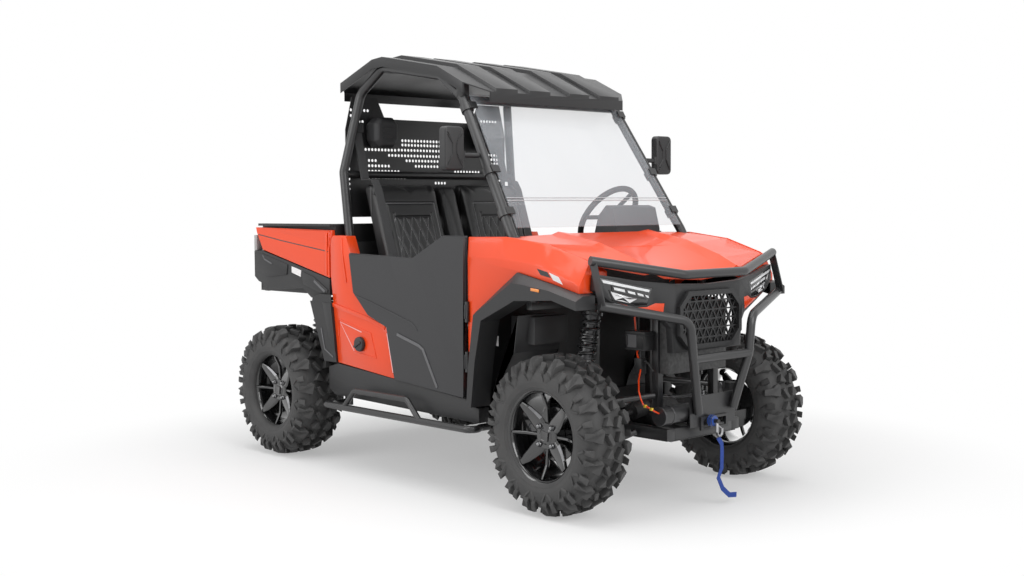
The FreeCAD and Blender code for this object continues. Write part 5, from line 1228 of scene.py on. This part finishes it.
# %% [markdown]
# ## Headlamps
# Behind each cover sit a light strip, four short lamps in a row and a faceted reflector. They are drawn in
# the cover's own plane, with one axis along its top edge and one down, and stand a little in front of the
# dark housing.

# %% Headlamps
lamp_corner = Vector((1.1545, -0.565, 0.975))
lamp_along = (Vector((1.2215, -0.319, 0.925)) - lamp_corner).normalized()
lamp_out = Vector((0.965, -0.263, 0.0)).normalized()
lamp_down = lamp_along.cross(lamp_out).normalized()
lamp_sink = -0.0004


def lamp_plate(mesh, outline, height):
    """A plate in the lamp's plane, from (along, down) points in millimetres, with a height over it."""
    points = [lamp_corner + lamp_along * s + lamp_down * t for s, t in in_metres(outline)]
    return bridged(mesh, [[point + lamp_out * out for point in points] for out in (lamp_sink, height)])


def lamp_pieces(name, mesh, finish, slot_name):
    bevelled(healed(mesh), 0.0008, 1, 40.0)
    add_pair(name + "_SIDE", mark_sharp(mesh, 20.0), finish, "chassis", slot_name)


strips = lamp_plate(bmesh.new(), [(10, 5), (246, 9), (243, 19), (22, 17)], 0.0020)
slant, fall = 6, 2
for s0, s1, t0, t1 in ((72, 126, 25, 36), (140, 176, 28, 38), (187, 217, 30, 39), (226, 243, 32, 40)):
    lamp_plate(strips, [(s0, t0), (s1, t0 + fall), (s1 + slant, t1 + fall), (s0 + slant, t1)], 0.0020)
lamp_pieces("lamp_strips", strips, lamp_white, "lamp")
rims = lamp_plate(bmesh.new(), [(60, 21), (66, 21), (74, 42), (236, 46), (236, 50), (70, 46)], 0.0024)
lamp_plate(rims, [(52, 40), (60, 40), (84, 74), (184, 79), (184, 82), (78, 78)], 0.0024)
lamp_pieces("lamp_rims", rims, black_moulding, "black_plastic")
facets = healed(lamp_plate(bmesh.new(), [(60, 44), (120, 50), (192, 54), (160, 76), (90, 74)], 0.0010))
front = [face for face in facets.faces if face.normal.dot(lamp_out) > 0.9]
for depth in (0.003, -0.002):
    front = bmesh.ops.poke(facets, faces=front, offset=depth)["faces"]
add_pair("lamp_facets_SIDE", mark_sharp(facets, 1.0), chrome, "chassis", "lamp")
print("headlamps ready")

# %% [markdown]
# ## Mirrors
# The mirror's arm, like all the bent rods and wires below, is a row of rings along a path, which one helper
# makes. Another makes the low ribs on the mirror's front.

# %% Tubes and ribs
def tube(mesh, path, radius, steps=8):
    """A round rod along a path: each ring stands square to the path there."""
    points = [Vector(point) for point in path]
    rings = []
    side = None
    for i, point in enumerate(points):
        way = (points[min(i + 1, len(points) - 1)] - points[max(i - 1, 0)]).normalized()
        side = way.orthogonal() if side is None else side - way * side.dot(way)
        side.normalize()
        up = way.cross(side)
        turns = [2 * math.pi * k / steps for k in range(steps)]
        rings.append([point + (side * math.cos(turn) + up * math.sin(turn)) * radius for turn in turns])
    return bridged(mesh, rings)


def rib_between(mesh, start, end, lift, half_width=0.0036, top_share=0.4):
    """A low ridge with a narrow top between two points on a face that looks forward."""
    start, end, forward = Vector(start), Vector(end), Vector((1, 0, 0))
    aside = (end - start).normalized().cross(forward) * half_width
    top = aside * top_share
    bridged(mesh, [[point - aside, point - top + forward * lift, point + top + forward * lift, point + aside]
                   for point in (start, end)])


def edges_along_x(mesh, least):
    return [edge for edge in mesh.edges if abs(edge.verts[0].co.x - edge.verts[1].co.x) > least]


print("tubes ready")

# %% [markdown]
# Each mirror is a rounded shell on an arm from the pillar, with crossed ribs on its front and a glass at the
# back. The shell starts as a box. Its edges along the vehicle get a wide bevel, and its front rim a small
# one.

# %% Mirror shells and glass
mirror_low, mirror_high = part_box("mirrors")
shell_deep, shell_wide, rib_sink = 0.038, 0.110, 0.0002
mid_y, mid_z = mirror_low.y + shell_wide / 2, (mirror_low.z + mirror_high.z) / 2
shell_front = mirror_low.x + shell_deep
shell = bmesh.new()
box_at(shell, mirror_low, (shell_front, mirror_low.y + shell_wide, mirror_high.z))
bevelled(shell, 0.022, 4, edges=edges_along_x(shell, 0.01))
front_rim = [edge for edge in shell.edges if min(vert.co.x for vert in edge.verts) > shell_front - 0.0001]
bevelled(shell, 0.010, 3, edges=front_rim)
face_x, elbow_y, elbow_z = shell_front - rib_sink, 0.012, 0.022
for way_y in (-1, 1):
    for way_z in (-1, 1):
        for shift in (0.0, 0.011):
            elbow = (face_x, mid_y + way_y * (elbow_y + shift * 0.4), mid_z + way_z * (elbow_z + shift))
            tip = (face_x, mid_y + way_y * 0.040, mid_z + way_z * (0.060 + shift))
            rib_between(shell, elbow, tip, 0.0042)
for way_y in (-1, 1):
    y = mid_y + way_y * elbow_y
    rib_between(shell, (face_x, y, mid_z - elbow_z), (face_x, y, mid_z + elbow_z), 0.0034)
arm_x, arm_y, arm_z = mirror_low.x + 0.019, mirror_low.y + shell_wide + 0.002, mirror_low.z + 0.067
arm_radius, pivot_radius, pivot_half, pivot_y = 0.011, 0.016, 0.018, arm_y - 0.004
arm_path = [(arm_x, arm_y, arm_z), (arm_x + 0.003, arm_y + 0.028, arm_z), (arm_x + 0.010, arm_y + 0.083, arm_z)]
tube(shell, arm_path, arm_radius, 14)
tube(shell, [(arm_x, pivot_y, arm_z - pivot_half), (arm_x, pivot_y, arm_z + pivot_half)], pivot_radius, 16)
add_pair("mirror_SIDE", mark_sharp(shell, 35.0), black_moulding, "chassis", "black_plastic", "mirrors")
glass_lift, glass_sink, glass_margin = 0.0015, 0.0005, 0.009
glass_inner = mirror_low.y + shell_wide - glass_margin
glass = bmesh.new()
box_at(glass, mirror_low + Vector((-glass_lift, glass_margin, glass_margin)),
       (mirror_low.x + glass_sink, glass_inner, mirror_high.z - glass_margin))
bevelled(glass, 0.016, 4, edges=edges_along_x(glass, 0.001))
add_pair("mirror_glass_SIDE", mark_sharp(glass), mirror_glass, "chassis", "black_plastic")
print("mirrors ready")

# %% [markdown]
# ## Springs, winch and wiring
# A coil spring is a tube along a helix from the damper's top to its foot, between two seats. Each end's
# helix is worked out in the damper's own axes.

# %% Coil springs
coil_radius, wire_radius, coil_turns, coil_steps, first_drop = 0.0375, 0.0058, 8, 18, 0.030
seat_radius = 0.046
dampers = {"front": ((0.894, -0.326, 0.827), (0.880, -0.394, 0.453), 0.300),
           "rear": ((-1.056, -0.325, 0.766), (-1.070, -0.394, 0.453), 0.245)}
for end, (top, foot, last_drop) in dampers.items():
    top, foot = Vector(top), Vector(foot)
    way = (foot - top).normalized()
    aside = way.orthogonal().normalized()
    up = way.cross(aside)
    path = []
    for k in range(coil_turns * coil_steps + 1):
        turn = 2 * math.pi * k / coil_steps
        drop = first_drop + (last_drop - first_drop) * k / (coil_turns * coil_steps)
        path.append(top + way * drop + (aside * math.cos(turn) + up * math.sin(turn)) * coil_radius)
    coil = tube(bmesh.new(), path, wire_radius, 7)
    for drop, thick in ((0.016, 0.012), (last_drop + 0.004, 0.010)):
        seat = [(0.0, drop), (seat_radius, drop), (seat_radius, drop + thick), (0.0, drop + thick)]
        spun(coil, seat, top, 24, way)
    cup = [(0.0, 0.010), (0.024, 0.014), (0.022, 0.050), (0.0, 0.052)]
    spun(coil, [(radius, last_drop + drop) for radius, drop in cup], top, 20, way)
    add_pair(f"spring_{end}_SIDE", mark_sharp(healed(coil), 35.0), spring_black, "chassis", "shock_steel")
print("springs ready")

# %% [markdown]
# The winch's drum carries blue rope, shown as one spun outline with a bulge for each turn. A rubber stop
# sits on the rope's end, and the steel hook below it holds the strap.

# %% Winch
drum_centre = (1.228, 0.0, 0.400)
rope_turns, rope_pitch, rope_start, drum_half = 23, 0.0065, -0.072, 0.0755


def winch_part(name, mesh, finish, slot_name="frame_steel"):
    add_piece(name, mark_sharp(healed(mesh), 35.0), finish, "chassis", slot_name)


def spun_part(name, profile, centre, steps, finish, axis=(0, 1, 0)):
    mesh = bmesh.new()
    spun(mesh, profile, centre, steps, axis)
    winch_part(name, mesh, finish)


rope = [(0.0300, -drum_half)]
for k in range(rope_turns):
    y = rope_start + k * rope_pitch
    rope += [(0.0312, y - 0.0030), (0.0345, y - 0.0018), (0.0352, y), (0.0345, y + 0.0018)]
rope.append((0.0300, drum_half))
spun_part("rope_on_drum", rope, drum_centre, 32, blue_film)
flange_radius, flat_radius, flange_chamfer = 0.040, 0.0385, 0.002
rings = bmesh.new()
for y0, y1 in in_metres([(-291, -283), (-236, -228), (-83, -75), (75, 83), (128, 136), (173, 181)]):
    edge = [(flange_radius, y0 + flange_chamfer), (flange_radius, y1 - flange_chamfer)]
    spun(rings, [(0.0, y0), (flat_radius, y0), *edge, (flat_radius, y1), (0.0, y1)], drum_centre, 32)
winch_part("winch_rings", rings, shock_black)
stop_profile = in_metres([(0, 0.5), (21, 0.5), (24.6, 4), (24.6, 10), (22.8, 12.5), (24.6, 15), (24.6, 22),
                          (21, 25.6), (0, 25.6)])
spun_part("rope_stop", stop_profile, (1.2871, -0.033, 0.363), 28, blue_film, (1, 0, 0))
hook_path = in_metres([(1310.5, -33, 363), (1320.5, -33, 361), (1324.1, -33, 354), (1324.1, -33, 318),
                       (1324.1, -31, 306), (1324.1, -24, 300.5), (1324.1, -10, 300.5), (1324.1, -3, 306),
                       (1324.1, -1, 316), (1324.1, -1, 331)])
hook_gate = in_metres([(1324.1, -28, 345), (1324.1, -4, 331)])
hook = tube(bmesh.new(), hook_path, 0.0064, 10)
tube(hook, hook_gate, 0.0028)
winch_part("winch_hook", hook, bare_steel)
print("winch ready")

# %% [markdown]
# The wiring box has a lid with a rim and two clips, a plain grey label, and short red and black wires. One
# red wire loops down to the winch and carries two yellow tags. Each wire is a tube along a few listed points.

# %% Wiring box
box_low, box_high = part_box("wiring_box")
box_label_y = box_low.y - 0.0002
label = side_plate(bmesh.new(), [(1030, 669), (1080, 669), (1080, 727), (1030, 727)], box_label_y, 0.0008)
winch_part("box_label", label, trim_grey, "black_plastic")
lid_past, clip_in, clip_half = 0.002, 0.008, 0.005
lid_out, lid_in = box_low.y - 0.0017, box_high.y + 0.0023
clip_out, clip_back = box_low.y - 0.0042, box_low.y + 0.0013
lid = bmesh.new()
for foot, top in ((-0.013, 0.002), (-0.077, -0.071)):
    box_at(lid, (box_low.x - lid_past, lid_out, box_high.z + foot),
           (box_high.x + lid_past, lid_in, box_high.z + top))
for x in (box_low.x + clip_in, box_high.x - clip_in):
    box_at(lid, (x - clip_half, clip_out, box_high.z - 0.059), (x + clip_half, clip_back, box_high.z - 0.015))
winch_part("box_lid", bevelled(lid, 0.0015, 2), black_moulding, "black_plastic")
wire, hose = 0.004, 0.0045
red_paths = [([(1052, -232, 735), (1052, -234, 760), (1050, -236, 790), (1052, -232, 815)], wire),
             ([(1064, -228, 660), (1062, -236, 650), (1066, -240, 640), (1064, -230, 622)], wire),
             ([(1080, -234, 575), (1105, -275, 535), (1150, -325, 500), (1165, -330, 470), (1178, -330, 448),
               (1205, -330, 440), (1228, -318, 425), (1228, -288, 412)], 0.0035)]
black_paths = [([(1068, -232, 735), (1069, -234, 760), (1072, -236, 790), (1070, -232, 815)], hose),
               ([(1083, -218, 600), (1100, -226, 612), (1118, -226, 600), (1130, -214, 570)], hose)]
for name, paths, finish in (("red_wires", red_paths, red_panel), ("black_wires", black_paths, soft_rubber)):
    wires = bmesh.new()
    for path, radius in paths:
        tube(wires, in_metres(path), radius)
    winch_part(name, wires, finish, "black_plastic")
tag_half = Vector((0.006, 0.006, 0.006))
tags = bmesh.new()
for place in (Vector((1.190, -0.330, 0.443)), Vector((1.218, -0.324, 0.433))):
    box_at(tags, place - tag_half, place + tag_half)
winch_part("wire_tags", bevelled(tags, 0.002, 2), tag_yellow, "black_plastic")
print("wiring ready")

# %% [markdown]
# The two panes of the windscreen meet in a joint, whose two edges show as pale lines across the screen.

# %% Windscreen joint
pane_out = Vector((0.846, 0, 0.533)).normalized()
pane_up = Vector((-0.533, 0, 0.846)).normalized()
joint_at, joint_half, joint_sink, joint_lift = Vector((0.5795, 0, 1.2915)), 0.523, -0.001, 0.0012
joint = bmesh.new()
for low, high in ((-0.0100, -0.0075), (0.0040, 0.0065)):
    section = [joint_at + pane_up * up + pane_out * out
               for up, out in ((low, joint_sink), (high, joint_sink), (high, joint_lift), (low, joint_lift))]
    bridged(joint, [[point + Vector((0, y, 0)) for point in section] for y in (-joint_half, joint_half)])
add_piece("windscreen_joint", mark_sharp(healed(joint)), joint_grey, "chassis", "clear_sheet")
print("windscreen ready")
